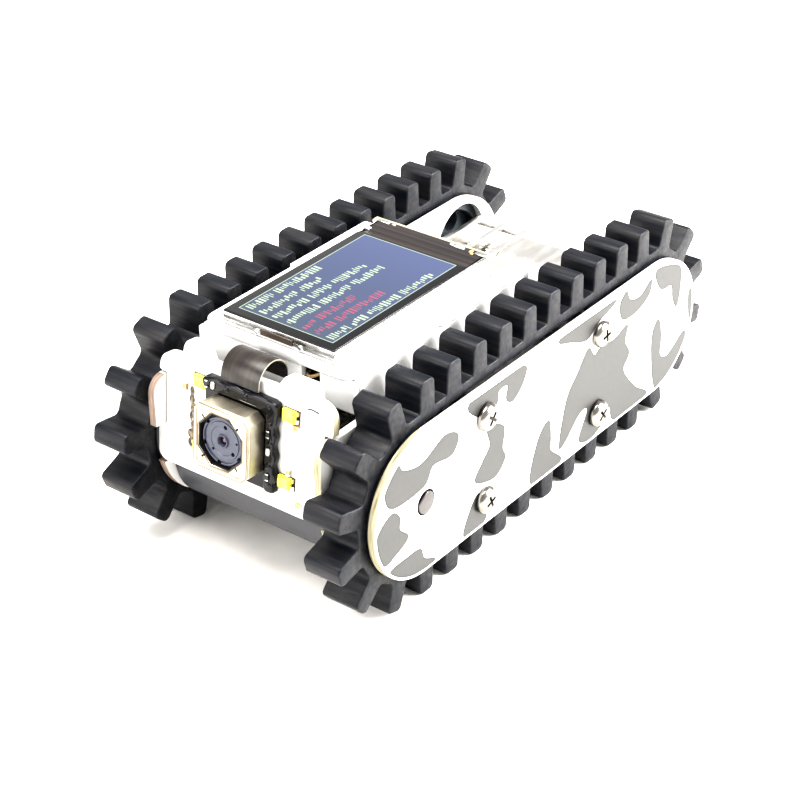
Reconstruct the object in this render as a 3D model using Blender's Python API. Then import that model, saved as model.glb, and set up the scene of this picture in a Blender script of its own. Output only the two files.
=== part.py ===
"""Miniature tracked robot chassis: rubber tracks, a board-built body, a tilted camera panel and a display.

Metres, +Z up. The origin is on the floor at the centre of the footprint, the front faces -Y, and the
left side is +X. Each track hangs between an inner and an outer plate, round a driven drum and an idler.
"""

import math

import bmesh
import bpy
from mathutils import Vector

MM = 0.001
GAP = 0.1 * MM  # left between pieces that rest on each other
SIDES = {"left": 1, "right": -1}

# Wheels and tracks
AXLE_Y = 26.2 * MM  # half the wheelbase
AXLE_Z = 15.04 * MM
BELT_Y = 26.4 * MM  # centre of a belt's end arcs
BELT_Z = 14.9 * MM
BAND_INNER_R = 9.3 * MM
BAND_OUTER_R = 10.8 * MM
PITCH_R = 10.3 * MM  # the cord line inside the rubber, which sets the spacing of the lugs
LUG_TIP_R = BELT_Z
LUG_COUNT = 32
LUG_WIDTH = 2.93 * MM
LUG_TIP_RADIUS = 0.65 * MM
LUG_START = {"left": 2.6 * MM, "right": 1.34 * MM}  # first lug, behind the front arc's top
TOP_LIFT = 0.45 * MM  # the upper run stands a little off the drums
TOP_BULGE = 0.35 * MM
BELT_IN, BELT_OUT = 14.02 * MM, 19.39 * MM
DRUM_IN, DRUM_OUT = 14.2 * MM, 19.2 * MM
DRUM_R = 8.95 * MM
RUNNING_GAP = 0.08 * MM
SHAFT_R = 1.5 * MM
DRIVE_END = {"left": -1, "right": 1}  # the left drum is driven at the front, the right one at the rear
MOTOR_HALF_Y, MOTOR_HALF_Z = 5 * MM, 6 * MM
GEARBOX_OUT, GEARBOX_LENGTH = 12.2 * MM, 8.8 * MM
CAN_LENGTH = 15 * MM

# Side plates
PLATE = 1.07 * MM
OUTER_PLATE_IN = 19.78 * MM
INNER_PLATE_IN = 12.56 * MM
PLATE_R = 9.92 * MM
SCREW_Y = (-14.1 * MM, 11.6 * MM)
SCREW_Z = (9.05 * MM, 21.1 * MM)
SCREW_HOLE_R = 1.2 * MM
SCREW_R = 1.0 * MM
SCREW_LENGTH = 5.0 * MM
HEAD_R = 1.85 * MM
HEAD_HEIGHT = 1.05 * MM
SPACER_R = 2.1 * MM
EAR_Y = -36.85 * MM
EAR_TOP = PLATE_R + AXLE_Z
EAR_CORNER = 2.2 * MM
OPENING_Y, OPENING_Z, OPENING_R = 26.9 * MM, 18.3 * MM, 5.6 * MM  # the drive shaft's opening

# Body
BODY_X = 12.3 * MM
DECK_TOP = 30.4 * MM
BOARD = 1.1 * MM
DECK_FRONT, DECK_REAR = -28.7 * MM, 4.6 * MM
REAR_WALL_Y = 6.2 * MM
BASE_Z = 5.6 * MM
COVER_R = 8.3 * MM
COVER_Z = 12.9 * MM
COVER_WALL = 0.9 * MM
COVER_X = 12.2 * MM

# Display, on the deck
DISPLAY_X = 8.8 * MM
DISPLAY_FRONT, DISPLAY_REAR = -28.0 * MM, 3.0 * MM
DISPLAY_TOP = 32.35 * MM
FRAME_TOP = 31.5 * MM
STRIP_LENGTH = 4.4 * MM

# Front panel and camera, in the panel's own leaning frame: X across, Z up the panel, -Y out of it
PANEL_PLACE = (0, -34.5 * MM, 20.0 * MM)
PANEL_LEAN = math.radians(6)
PANEL_HALF = BOARD / 2
PANEL_X = 13.7 * MM
PANEL_FOOT = -6.9 * MM
NOTCH_X = 12.4 * MM
NOTCH_LOW, NOTCH_HIGH = -1.6 * MM, 5.3 * MM
CAMERA_CENTRE_Z = 1.55 * MM
CAN_HALF = 4.25 * MM
LENS_R = 3.0 * MM
LENS_FACE = -4.1 * MM  # set back in the can's opening
LENS_TRAVEL = 0.3 * MM
RIBBON_HALF = 2.95 * MM
RIBBON = 0.25 * MM
LED_SIZE = 2.3 * MM

COLOURS = {
    "white_board": ((0.90, 0.90, 0.88), 0.45, 0.0),
    "printed_board": ((0.86, 0.87, 0.86), 0.40, 0.0),
    "rubber": ((0.035, 0.036, 0.040), 0.75, 0.0),
    "steel": ((0.62, 0.61, 0.58), 0.30, 1.0),
    "brass": ((0.72, 0.62, 0.38), 0.35, 1.0),
    "grey_cover": ((0.10, 0.11, 0.13), 0.55, 0.0),
    "black_plastic": ((0.02, 0.02, 0.022), 0.40, 0.0),
    "display_glass": ((0.03, 0.04, 0.08), 0.08, 0.0),
    "ribbon": ((0.05, 0.035, 0.03), 0.35, 0.0),
    "led": ((0.85, 0.80, 0.20), 0.35, 0.0),
    "foil": ((0.55, 0.56, 0.58), 0.45, 0.3),
}


def clear_scene():
    for thing in list(bpy.data.objects):
        bpy.data.objects.remove(thing)


def material(name):
    """The named material, made on first use."""
    found = bpy.data.materials.get(name)
    if found:
        return found
    colour, roughness, metallic = COLOURS[name]
    made = bpy.data.materials.new(name)
    made.use_nodes = True
    shader = made.node_tree.nodes["Principled BSDF"]
    shader.inputs["Base Color"].default_value = (*colour, 1)
    shader.inputs["Roughness"].default_value = roughness
    shader.inputs["Metallic"].default_value = metallic
    return made


def piece(name, shape, finish, parent=None):
    """An object from a bmesh, facing out, smooth where it is round."""
    bmesh.ops.recalc_face_normals(shape, faces=shape.faces)
    mesh = bpy.data.meshes.new(name)
    shape.to_mesh(mesh)
    shape.free()
    mesh.shade_smooth()
    mesh.set_sharp_from_angle(angle=math.radians(35))
    mesh.materials.append(material(finish))
    made = bpy.data.objects.new(name, mesh)
    made.parent = parent
    bpy.context.scene.collection.objects.link(made)
    return made


def arc(centre, radius, start, end, steps):
    """Points round a centre, from one angle in degrees to another."""
    turn = [math.radians(start + (end - start) * i / steps) for i in range(steps + 1)]
    return [(centre[0] + radius * math.cos(a), centre[1] + radius * math.sin(a)) for a in turn]


def circle(centre, radius, steps=20):
    return arc(centre, radius, 0, 360, steps)[:-1]


def rounded(corners, steps=4):
    """An outline through corners (u, v, radius), each turned into an arc of its radius."""
    outline = []
    for i, (u, v, radius) in enumerate(corners):
        here = Vector((u, v))
        if not radius:
            outline.append((u, v))
            continue
        back = (Vector(corners[i - 1][:2]) - here).normalized()
        ahead = (Vector(corners[(i + 1) % len(corners)][:2]) - here).normalized()
        half = back.angle(ahead) / 2
        centre = here + (back + ahead).normalized() * radius / math.sin(half)
        first = here + back * radius / math.tan(half) - centre
        sweep = (math.pi - 2 * half) * (1 if back.cross(ahead) < 0 else -1)
        for step in range(steps + 1):
            angle = sweep * step / steps
            c, s = math.cos(angle), math.sin(angle)
            outline.append((centre.x + first.x * c - first.y * s, centre.y + first.x * s + first.y * c))
    return outline


def rounded_box(low, high, radius):
    return rounded([(low[0], low[1], radius), (high[0], low[1], radius),
                    (high[0], high[1], radius), (low[0], high[1], radius)])


def prism(loops, axis, low, high):
    """A bmesh plate across an axis: the first loop is its outline, and the others are holes in it.

    A loop's points are (Y, Z) across X, (X, Z) across Y and (X, Y) across Z.
    """
    shape = bmesh.new()
    edges = []
    for loop in loops:
        verts = []
        for u, v in loop:
            point = [u, v]
            point.insert("XYZ".index(axis), low)
            verts.append(shape.verts.new(point))
        edges += [shape.edges.new((verts[i - 1], verts[i])) for i in range(len(verts))]
    bmesh.ops.triangle_fill(shape, use_beauty=True, use_dissolve=False, edges=edges)
    grown = bmesh.ops.extrude_face_region(shape, geom=shape.faces[:])
    lift = [0, 0, 0]
    lift["XYZ".index(axis)] = high - low
    moved = [item for item in grown["geom"] if isinstance(item, bmesh.types.BMVert)]
    bmesh.ops.translate(shape, vec=lift, verts=moved)
    return shape


def turned(profile, axis, centre, steps=24):
    """A bmesh turned from (radius, place along the axis) points. A profile off the axis makes a ring."""
    shape = bmesh.new()
    rings = []
    for radius, along in profile:
        ring = []
        for i in range(steps if radius else 1):
            angle = 2 * math.pi * i / steps
            point = [radius * math.cos(angle), radius * math.sin(angle)]
            point.insert("XYZ".index(axis), along)
            ring.append(shape.verts.new(Vector(point) + Vector(centre)))
        rings.append(ring)
    pairs = list(zip(rings, rings[1:]))
    if profile[0][0] and profile[-1][0]:
        pairs.append((rings[-1], rings[0]))
    for near, far in pairs:
        for i in range(steps):
            j = (i + 1) % steps
            corners = [near[i % len(near)], near[j % len(near)], far[j % len(far)], far[i % len(far)]]
            shape.faces.new(list(dict.fromkeys(corners)))
    return shape


def rod(radius, low, high):
    return [(0, low), (radius, low), (radius, high), (0, high)]


def tube(inner, outer, low, high):
    return [(inner, low), (outer, low), (outer, high), (inner, high)]


def box(low, high):
    outline = [(low[0], low[1]), (high[0], low[1]), (high[0], high[1]), (low[0], high[1])]
    return prism([outline], "Z", low[2], high[2])


def across(side, inner, outer):
    """The two X places of a span that lies between two distances from the middle."""
    return sorted((side * inner, side * outer))


# ---- tracks ----

def belt_frame(along):
    """A place on a belt's cord line and the way out from it, at a distance along the belt.

    The distance starts at the top of the front arc and runs back along the top.
    """
    run, bend = 2 * BELT_Y, math.pi * PITCH_R
    along %= 2 * (run + bend)
    if along < run:
        y = along - BELT_Y
        lift = TOP_LIFT + TOP_BULGE * (1 - (y / BELT_Y) ** 2)
        return Vector((y, BELT_Z + PITCH_R + lift)), Vector((0, 1))
    if along < run + bend:
        turn, end = math.pi / 2 - (along - run) / PITCH_R, 1
    elif along < 2 * run + bend:
        return Vector((BELT_Y - (along - run - bend), BELT_Z - PITCH_R)), Vector((0, -1))
    else:
        turn, end = -math.pi / 2 - (along - 2 * run - bend) / PITCH_R, -1
    out = Vector((math.cos(turn), math.sin(turn)))
    lift = TOP_LIFT * max(0, out.y) ** 2
    return Vector((end * BELT_Y, BELT_Z + lift)) + out * PITCH_R, out


def belt_point(along, radius):
    place, out = belt_frame(along)
    return tuple(place + out * (radius - PITCH_R))


def lug_outline(middle):
    """The outer edge of the belt over one lug, from its front root to its rear root, with a round tip."""
    place, out = belt_frame(middle)
    back = Vector((out.y, -out.x))
    half, tip = LUG_WIDTH / 2, LUG_TIP_R - PITCH_R
    round_from = tip - LUG_TIP_RADIUS
    corner = half - LUG_TIP_RADIUS
    edge = arc((-corner, round_from), LUG_TIP_RADIUS, 180, 90, 3)
    edge += arc((corner, round_from), LUG_TIP_RADIUS, 90, 0, 3)
    points = [belt_point(middle - half, BAND_OUTER_R)]
    points += [tuple(place + back * a + out * h) for a, h in edge]
    return points + [belt_point(middle + half, BAND_OUTER_R)]


def track_belt(name, side):
    length = 4 * BELT_Y + 2 * math.pi * PITCH_R
    pitch = length / LUG_COUNT
    outer = []
    for lug in range(LUG_COUNT):
        middle = LUG_START[name] + lug * pitch
        outer += lug_outline(middle)
        outer.append(belt_point(middle + pitch / 2, BAND_OUTER_R))
    steps = 3 * LUG_COUNT
    inner = [belt_point(length * i / steps, BAND_INNER_R) for i in range(steps)]
    low, high = across(side, BELT_IN, BELT_OUT)
    piece(f"{name}_track_belt", prism([outer, inner], "X", low, high), "rubber")


def wheel(label, side, y, rim_r, bore_r, finish):
    """A drum with a deep groove turned into each face, which leaves a rim, a web and a hub."""
    hub, rim, depth = 3.2 * MM, rim_r - 1.6 * MM, 1.3 * MM
    low, high = across(side, DRUM_IN, DRUM_OUT)
    profile = [(bore_r, low), (hub, low), (hub, low + depth), (rim, low + depth), (rim, low), (rim_r, low),
               (rim_r, high), (rim, high), (rim, high - depth), (hub, high - depth), (hub, high),
               (bore_r, high)]
    return piece(label, turned(profile, "X", (0, y, AXLE_Z), 32), finish)


def drive(name, side):
    """The driven drum, its shaft with the tip level with the outer plate, and the motor that turns it."""
    y = DRIVE_END[name] * AXLE_Y
    wheel(f"{name}_drive_drum", side, y, DRUM_R, SHAFT_R + RUNNING_GAP, "black_plastic")
    shaft = across(side, 12.4 * MM, OUTER_PLATE_IN + PLATE + 0.15 * MM)
    piece(f"{name}_drive_shaft", turned(rod(SHAFT_R, *shaft), "X", (0, y, AXLE_Z)), "steel")
    low_corner = (y - MOTOR_HALF_Y, AXLE_Z - MOTOR_HALF_Z)
    high_corner = (y + MOTOR_HALF_Y, AXLE_Z + MOTOR_HALF_Z)
    gearbox_in = GEARBOX_OUT - GEARBOX_LENGTH
    low, high = across(side, gearbox_in, GEARBOX_OUT)
    gearbox = prism([rounded_box(low_corner, high_corner, 0.5 * MM)], "X", low, high)
    piece(f"{name}_motor_gearbox", gearbox, "steel")
    low, high = across(side, gearbox_in - GAP - CAN_LENGTH, gearbox_in - GAP)
    can = prism([rounded_box(low_corner, high_corner, 3 * MM)], "X", low, high)
    piece(f"{name}_motor_can", can, "steel")


def idler(name, side):
    """The free wheel at the other end, on a fixed axle held between the two plates."""
    y = -DRIVE_END[name] * AXLE_Y
    axle_r = 1.0 * MM
    wheel(f"{name}_idler_wheel", side, y, DRUM_R, axle_r + RUNNING_GAP, "black_plastic")
    low, high = across(side, INNER_PLATE_IN + PLATE + GAP, OUTER_PLATE_IN - GAP)
    piece(f"{name}_idler_axle", turned(rod(axle_r, low, high), "X", (0, y, AXLE_Z), 16), "steel")


# ---- side plates and their screws ----

def screw_places():
    return [(y, z) for y in SCREW_Y for z in SCREW_Z]


def outer_plate(name, side):
    outline = arc((AXLE_Y, AXLE_Z), PLATE_R, -90, 90, 24) + arc((-AXLE_Y, AXLE_Z), PLATE_R, 90, 270, 24)
    holes = [circle(place, SCREW_HOLE_R, 12) for place in screw_places()]
    holes.append(circle((DRIVE_END[name] * AXLE_Y, AXLE_Z), 2.1 * MM))
    low, high = across(side, OUTER_PLATE_IN, OUTER_PLATE_IN + PLATE)
    piece(f"{name}_outer_plate", prism([outline] + holes, "X", low, high), "printed_board")


def panel_point(y, z):
    """A place in the front panel's own frame, as (Y, Z) of the body."""
    lean_sin, lean_cos = math.sin(PANEL_LEAN), math.cos(PANEL_LEAN)
    return (PANEL_PLACE[1] + y * lean_cos + z * lean_sin, PANEL_PLACE[2] + z * lean_cos - y * lean_sin)


def inner_plate(name, side):
    """The inner plate. Its ear at the upper front reaches through the front panel's notch.

    Under the ear its edge is cut back to the panel's rear face, down to the panel's foot.
    """
    rear_face = PANEL_HALF + 2 * GAP
    under_ear = panel_point(rear_face, NOTCH_LOW + GAP)
    foot = panel_point(rear_face, PANEL_FOOT - 2 * GAP)
    meets = 180 - math.degrees(math.asin((foot[1] - AXLE_Z) / PLATE_R))
    outline = arc((AXLE_Y, AXLE_Z), PLATE_R, -90, 90, 20)
    outline += arc((EAR_Y + EAR_CORNER, EAR_TOP - EAR_CORNER), EAR_CORNER, 90, 180, 6)
    outline += [(EAR_Y, under_ear[1]), under_ear, foot]
    outline += arc((-AXLE_Y, AXLE_Z), PLATE_R, meets, 270, 12)
    opening = circle((DRIVE_END[name] * OPENING_Y, OPENING_Z), OPENING_R, 24)
    low, high = across(side, INNER_PLATE_IN, INNER_PLATE_IN + PLATE)
    piece(f"{name}_inner_plate", prism([outline, opening], "X", low, high), "white_board")


def screws(name, side):
    """Threaded spacers that stand on the inner plate, and the pan-head screws that go into them."""
    head_low = OUTER_PLATE_IN + PLATE + GAP
    labels = ("lower_front", "upper_front", "lower_rear", "upper_rear")
    for label, (y, z) in zip(labels, screw_places()):
        low, high = across(side, INNER_PLATE_IN + PLATE + GAP, OUTER_PLATE_IN - GAP)
        spacer = turned(tube(SCREW_HOLE_R, SPACER_R, low, high), "X", (0, y, z), 12)
        piece(f"{name}_{label}_spacer", spacer, "steel")
        profile = [(0, head_low - SCREW_LENGTH), (SCREW_R, head_low - SCREW_LENGTH), (SCREW_R, head_low),
                   (HEAD_R, head_low), (HEAD_R, head_low + HEAD_HEIGHT / 3),
                   (HEAD_R * 0.84, head_low + HEAD_HEIGHT * 0.75),
                   (HEAD_R * 0.5, head_low + HEAD_HEIGHT), (0, head_low + HEAD_HEIGHT)]
        shape = turned([(radius, side * along) for radius, along in profile], "X", (0, y, z), 16)
        piece(f"{name}_{label}_screw", shape, "steel")


# ---- body ----

def deck():
    front, rear, step = DECK_FRONT, DECK_REAR, 0.6 * MM
    narrow = BODY_X - step
    outline = rounded([(-narrow, front, 2 * MM), (narrow, front, 2 * MM), (narrow, -11.4 * MM, 0),
                       (BODY_X, -11.0 * MM, 0), (BODY_X, rear, 0), (-BODY_X, rear, 0),
                       (-BODY_X, -11.0 * MM, 0), (-narrow, -11.4 * MM, 0)])
    piece("top_board", prism([outline], "Z", DECK_TOP - BOARD, DECK_TOP), "white_board")


def front_wall():
    """The wall behind the front panel, which ends above the front motor, with a notch under the deck."""
    low, high, sill = 25.2 * MM, DECK_TOP - BOARD - GAP, 27.4 * MM
    outline = [(-BODY_X + GAP, low), (BODY_X - GAP, low), (BODY_X - GAP, high), (7.0 * MM, high),
               (7.0 * MM, sill), (4.2 * MM, sill), (4.2 * MM, high), (-BODY_X + GAP, high)]
    front = DECK_FRONT + 0.1 * MM
    piece("front_wall", prism([outline], "Y", front, front + 0.8 * MM), "white_board")


def rear_wall():
    low, high = BASE_Z + BOARD + GAP, 30.0 * MM
    outline = [(-BODY_X, low), (BODY_X, low), (BODY_X, high), (-BODY_X, high)]
    piece("rear_wall", prism([outline], "Y", REAR_WALL_Y, REAR_WALL_Y + BOARD), "white_board")


def side_wall(name, side):
    """A wall inside the inner plate, from the base board to the deck, stepped over the front motor."""
    foot, sill = BASE_Z + BOARD + GAP, AXLE_Z + MOTOR_HALF_Z + 0.6 * MM
    front, step, rear = DECK_FRONT + 1.1 * MM, -AXLE_Y + COVER_R + 0.4 * MM, REAR_WALL_Y - GAP
    top = DECK_TOP - BOARD - GAP
    outline = [(front, sill), (step, sill), (step, foot), (rear, foot), (rear, top), (front, top)]
    low, high = across(side, BODY_X - 0.9 * MM, BODY_X)
    piece(f"{name}_side_wall", prism([outline], "X", low, high), "white_board")


def base_board():
    half_y = AXLE_Y - COVER_R - 0.4 * MM
    outline = rounded_box((-BODY_X, -half_y), (BODY_X, half_y), 0.8 * MM)
    piece("base_board", prism([outline], "Z", BASE_Z, BASE_Z + BOARD), "white_board")


def motor_cover(name, y):
    """A half-round trough under a motor, open at the top, between the inner plates."""
    outline = arc((y, COVER_Z), COVER_R, 180, 360, 20)
    outline += arc((y, COVER_Z), COVER_R - COVER_WALL, 360, 180, 20)
    piece(name, prism([outline], "X", -COVER_X, COVER_X), "grey_cover")


def electronics():
    """The battery on the base board, the controller above it, and the sockets at the rear."""
    foot = BASE_Z + BOARD + GAP
    pouch = rounded_box((-10 * MM, foot), (10 * MM, foot + 7 * MM), 1.2 * MM)
    piece("battery_pouch", prism([pouch], "Y", -15 * MM, 5 * MM), "foil")
    board = rounded_box((-9 * MM, -16 * MM), (9 * MM, 4 * MM), 0.6 * MM)
    piece("controller_board", prism([board], "Z", 22 * MM, 23 * MM), "black_plastic")
    rear = REAR_WALL_Y + BOARD
    shelf = rounded_box((-BODY_X + 0.3 * MM, rear + GAP), (BODY_X - 0.3 * MM, 17.2 * MM), 0.5 * MM)
    shelf_z = 9.0 * MM
    piece("rear_board", prism([shelf], "Z", shelf_z, shelf_z + BOARD), "white_board")
    top = shelf_z + BOARD + GAP
    shell = rounded_box((-4.5 * MM, top), (4.5 * MM, top + 3.2 * MM), 1.1 * MM)
    mouth = rounded_box((-4.1 * MM, top + 0.4 * MM), (4.1 * MM, top + 2.8 * MM), 0.9 * MM)
    piece("usb_socket", prism([shell, mouth], "Y", rear + 2.4 * MM, 17.6 * MM), "steel")
    switch_body(top, rear)


def switch_body(top, rear):
    """A small slide switch beside the socket. Its slider runs along X in a slot in the case's top."""
    low, high = (5.6 * MM, rear + 3.0 * MM), (11.8 * MM, rear + 6.6 * MM)
    middle = (low[1] + high[1]) / 2
    slot_x, slot_y = 1.9 * MM, 0.6 * MM
    centre = (low[0] + high[0]) / 2
    case = [(low[0], low[1]), (high[0], low[1]), (high[0], high[1]), (low[0], high[1])]
    slot = [(centre - slot_x, middle - slot_y), (centre + slot_x, middle - slot_y),
            (centre + slot_x, middle + slot_y), (centre - slot_x, middle + slot_y)]
    piece("switch_body", prism([case, slot], "Z", top, top + 2.4 * MM), "steel")
    knob_x, knob_y = 0.85 * MM, 0.5 * MM
    start = centre - slot_x + knob_x + GAP
    knob = box((-knob_x, -knob_y, 0.3 * MM), (knob_x, knob_y, 4.2 * MM))
    slider = piece("switch_slider", knob, "black_plastic")
    slider.location = (start, middle, top)


# ---- display ----

def display():
    outline = rounded_box((-DISPLAY_X, DISPLAY_FRONT), (DISPLAY_X, DISPLAY_REAR), 0.35 * MM)
    piece("display_frame", prism([outline], "Z", DECK_TOP + GAP, FRAME_TOP), "steel")
    rim = 0.15 * MM
    split = DISPLAY_REAR - STRIP_LENGTH
    glass = rounded_box((-DISPLAY_X + rim, DISPLAY_FRONT + rim), (DISPLAY_X - rim, split), 0.25 * MM)
    piece("display_glass", prism([glass], "Z", FRAME_TOP + GAP, DISPLAY_TOP), "display_glass")
    strip_low = (-DISPLAY_X + 0.6 * MM, split + 0.2 * MM)
    strip = rounded_box(strip_low, (DISPLAY_X - 0.6 * MM, DISPLAY_REAR - rim), 0.3 * MM)
    piece("display_flex", prism([strip], "Z", FRAME_TOP + GAP, FRAME_TOP + 0.5 * MM), "ribbon")


# ---- front panel and camera, in the panel's leaning frame ----

def panel_outline():
    """The panel's outline as (X, Z): uneven lobes, a notch for each ear and a dip for the ribbon."""
    left = [(5.0, 9.1, 0.3), (6.5, 11.25, 1.6), (11.3, 11.25, 1.0), (11.3, 9.4, 0.4), (13.7, 9.1, 2.2)]
    right = [(-13.2, 8.1, 2.2), (-9.8, 8.3, 0.5), (-9.6, 11.0, 1.9), (-6.2, 11.0, 1.4), (-5.0, 9.0, 0.3)]
    foot = [(PANEL_X, NOTCH_HIGH, 0.4 * MM), (NOTCH_X, NOTCH_HIGH, 0), (NOTCH_X, NOTCH_LOW, 0),
            (PANEL_X, NOTCH_LOW, 0.4 * MM), (PANEL_X, PANEL_FOOT, 1.4 * MM)]
    outline = [(x * MM, z * MM, radius * MM) for x, z, radius in left] + foot
    outline += [(-x, z, radius) for x, z, radius in reversed(foot)]
    return rounded(outline + [(x * MM, z * MM, radius * MM) for x, z, radius in right])


def camera_group():
    """The leaning panel with its LEDs, the camera board, the can, the lens and the ribbon."""
    frame = bpy.data.objects.new("front_panel_frame", None)
    frame.location = PANEL_PLACE
    frame.rotation_euler.x = -PANEL_LEAN
    bpy.context.scene.collection.objects.link(frame)
    piece("front_panel", prism([panel_outline()], "Y", -PANEL_HALF, PANEL_HALF), "white_board", frame)
    face = -PANEL_HALF - GAP
    board_depth = 0.8 * MM
    board = rounded_box((-5.3 * MM, -4.4 * MM), (5.6 * MM, 7.7 * MM), 0.4 * MM)
    piece("camera_board", prism([board], "Y", face - board_depth, face), "black_plastic", frame)
    camera_can(frame, face - board_depth - GAP)
    leds(frame, face)
    ribbon(frame, face - board_depth)


def camera_can(frame, back):
    """A square can with cut front corners round an eight-sided opening, and the lens barrel in it."""
    front, cut = -4.75 * MM, 0.9 * MM
    n, c = CAN_HALF, CAMERA_CENTRE_Z
    outline = [(-n + cut, c - n), (n - cut, c - n), (n, c - n + cut), (n, c + n - cut),
               (n - cut, c + n), (-n + cut, c + n), (-n, c + n - cut), (-n, c - n + cut)]
    bore = LENS_R + 0.25 * MM
    hole = [(x, z) for x, z in arc((0, c), bore / math.cos(math.pi / 8), 22.5, 337.5, 7)]
    piece("camera_can", prism([outline, hole], "Y", front, back), "brass", frame)
    face, eye = LENS_FACE, LENS_FACE + 0.4 * MM
    profile = [(0, eye), (0.6 * MM, eye), (0.9 * MM, face), (LENS_R - 0.3 * MM, face),
               (LENS_R, face + 0.3 * MM), (LENS_R, back - LENS_TRAVEL), (0, back - LENS_TRAVEL)]
    piece("lens_barrel", turned(profile, "Y", (0, 0, c), 24), "black_plastic", frame)


def leds(frame, face):
    places = {"upper_right": (-6.5, 6.05), "upper_left": (7.4, 6.3),
              "lower_right": (-6.6, -3.0), "lower_left": (7.0, -2.7)}
    half = LED_SIZE / 2
    for label, (x, z) in places.items():
        low = (x * MM - half, face - 0.75 * MM, z * MM - half)
        high = (x * MM + half, face, z * MM + half)
        piece(f"{label}_led", box(low, high), "led", frame)


def ribbon(frame, board_face):
    """The camera's flat ribbon: up from the board, over the panel's dip in a loop, and down behind it."""
    loop_r, foot, middle = 2.55 * MM, 7.9 * MM, 8.5 * MM
    y = board_face + 0.15 * MM
    outer = [(y - RIBBON / 2, foot)] + arc((y + loop_r, middle), loop_r + RIBBON / 2, 180, 0, 14)
    outer.append((y + 2 * loop_r + RIBBON / 2, foot + 0.3 * MM))
    inner = [(y + 2 * loop_r - RIBBON / 2, foot + 0.3 * MM)]
    inner += arc((y + loop_r, middle), loop_r - RIBBON / 2, 0, 180, 14) + [(y + RIBBON / 2, foot)]
    shape = prism([outer + inner], "X", -RIBBON_HALF, RIBBON_HALF)
    piece("camera_ribbon", shape, "ribbon", frame)


def main():
    clear_scene()
    for name, side in SIDES.items():
        track_belt(name, side)
        drive(name, side)
        idler(name, side)
        outer_plate(name, side)
        inner_plate(name, side)
        screws(name, side)
        side_wall(name, side)
    deck()
    front_wall()
    rear_wall()
    base_board()
    motor_cover("front_motor_cover", -AXLE_Y)
    motor_cover("rear_motor_cover", AXLE_Y)
    electronics()
    display()
    camera_group()


main()
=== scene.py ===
"""Looks of the miniature tracked robot chassis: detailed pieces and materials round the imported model.

+Z is up, the front faces -Y and the left side is +X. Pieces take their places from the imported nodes' boxes.
Lengths are in millimetres, and each finished piece's mesh is scaled to metres. The studio and the camera
are in metres.
"""
import math
import random

import bmesh
import bpy
from mathutils import Matrix, Vector


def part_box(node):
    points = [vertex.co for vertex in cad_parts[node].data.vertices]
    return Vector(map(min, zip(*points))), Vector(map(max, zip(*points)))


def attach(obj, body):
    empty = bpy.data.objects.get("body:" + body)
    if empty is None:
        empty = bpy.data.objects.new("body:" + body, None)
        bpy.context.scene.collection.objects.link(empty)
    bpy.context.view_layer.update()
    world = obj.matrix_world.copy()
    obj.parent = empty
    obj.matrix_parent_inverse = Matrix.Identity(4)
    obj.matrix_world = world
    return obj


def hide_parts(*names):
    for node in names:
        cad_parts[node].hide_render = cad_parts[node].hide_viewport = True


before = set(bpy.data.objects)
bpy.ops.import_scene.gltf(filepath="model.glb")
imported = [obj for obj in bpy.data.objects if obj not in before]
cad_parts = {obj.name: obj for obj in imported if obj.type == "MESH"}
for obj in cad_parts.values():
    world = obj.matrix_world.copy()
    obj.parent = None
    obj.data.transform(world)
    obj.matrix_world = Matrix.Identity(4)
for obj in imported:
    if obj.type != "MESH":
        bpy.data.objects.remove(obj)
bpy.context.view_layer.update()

# A millimetre in metres, and how far apart (in millimetres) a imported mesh's corners are joined
MM = 0.001
WELD_REACH = 0.001
SIDES = {"left": 1, "right": -1}

# The camera
CAMERA_PLACE = (142.18 * MM, -188.31 * MM, 151.41 * MM)
CAMERA_AZIMUTH, CAMERA_ELEVATION, CAMERA_ROLL = 37.655, 31.10, -0.525
CAMERA_LENS, CAMERA_SENSOR = 92.24, 36.0

# Tracks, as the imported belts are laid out
AXLE_Y, AXLE_Z = 26.2, 15.04
BELT_Y, BELT_Z = 26.4, 14.9
BAND_INNER_R, BAND_OUTER_R, PITCH_R = 9.3, 10.8, 10.3
LUG_COUNT, LUG_WIDTH = 32, 2.93
LUG_START = {"left": 2.6, "right": 1.34}
TOP_LIFT, TOP_BULGE = 0.45, 0.35
DRIVE_END = {"left": -1, "right": 1}

# Side plates: their end radius, the print on the outer ones, and the holes
PLATE_R = 9.92
PRINT_R = PLATE_R - 0.55
OUTLINE_WIDTH = 0.18
BARE_EDGE_Y = -22
SHAFT_HOLE_R = 1.66
SCREW_HOLE_R = 1.2
SCREW_Y, SCREW_Z = (-14.1, 11.6), (9.05, 21.1)

# Screws: each recess's turn in degrees, the head's height and the thread
SCREW_TURNS = {"lower_front": 20, "upper_front": 52, "lower_rear": 38, "upper_rear": 8}
HEAD_HEIGHT = 1.05
THREAD_R, THREAD_ROOT_R, THREAD_PITCH = 1.0, 0.82, 0.4

# Each motor's gears: place across and up from its middle, radius, from and to a depth, teeth
GEARS = [
    (0, 0, 3.6, 1.2, 2.6, 30),
    (0, 0, 1.5, 2.6, 4.1, 12),
    (1.4, 3.0, 2.7, 2.9, 3.8, 24),
    (-1.6, -3.2, 2.4, 2.9, 3.8, 22),
    (0, 1.2, 3.4, 5.3, 6.3, 30),
    (0, -2.8, 2.4, 6.5, 7.5, 20),
]

# The front panel's own leaning frame: X across, Z up the panel, -Y out of it
PANEL_PLACE = (0, -34.5, 20.0)
PANEL_LEAN = math.radians(6)
PANEL_HALF = 0.55
CAN_CENTRE_Z = 1.55

LED_PLACES = {
    "upper_right": (-6.5, 6.05),
    "upper_left": (7.4, 6.3),
    "lower_right": (-6.6, -3.0),
    "lower_left": (7.0, -2.7),
}

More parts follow.
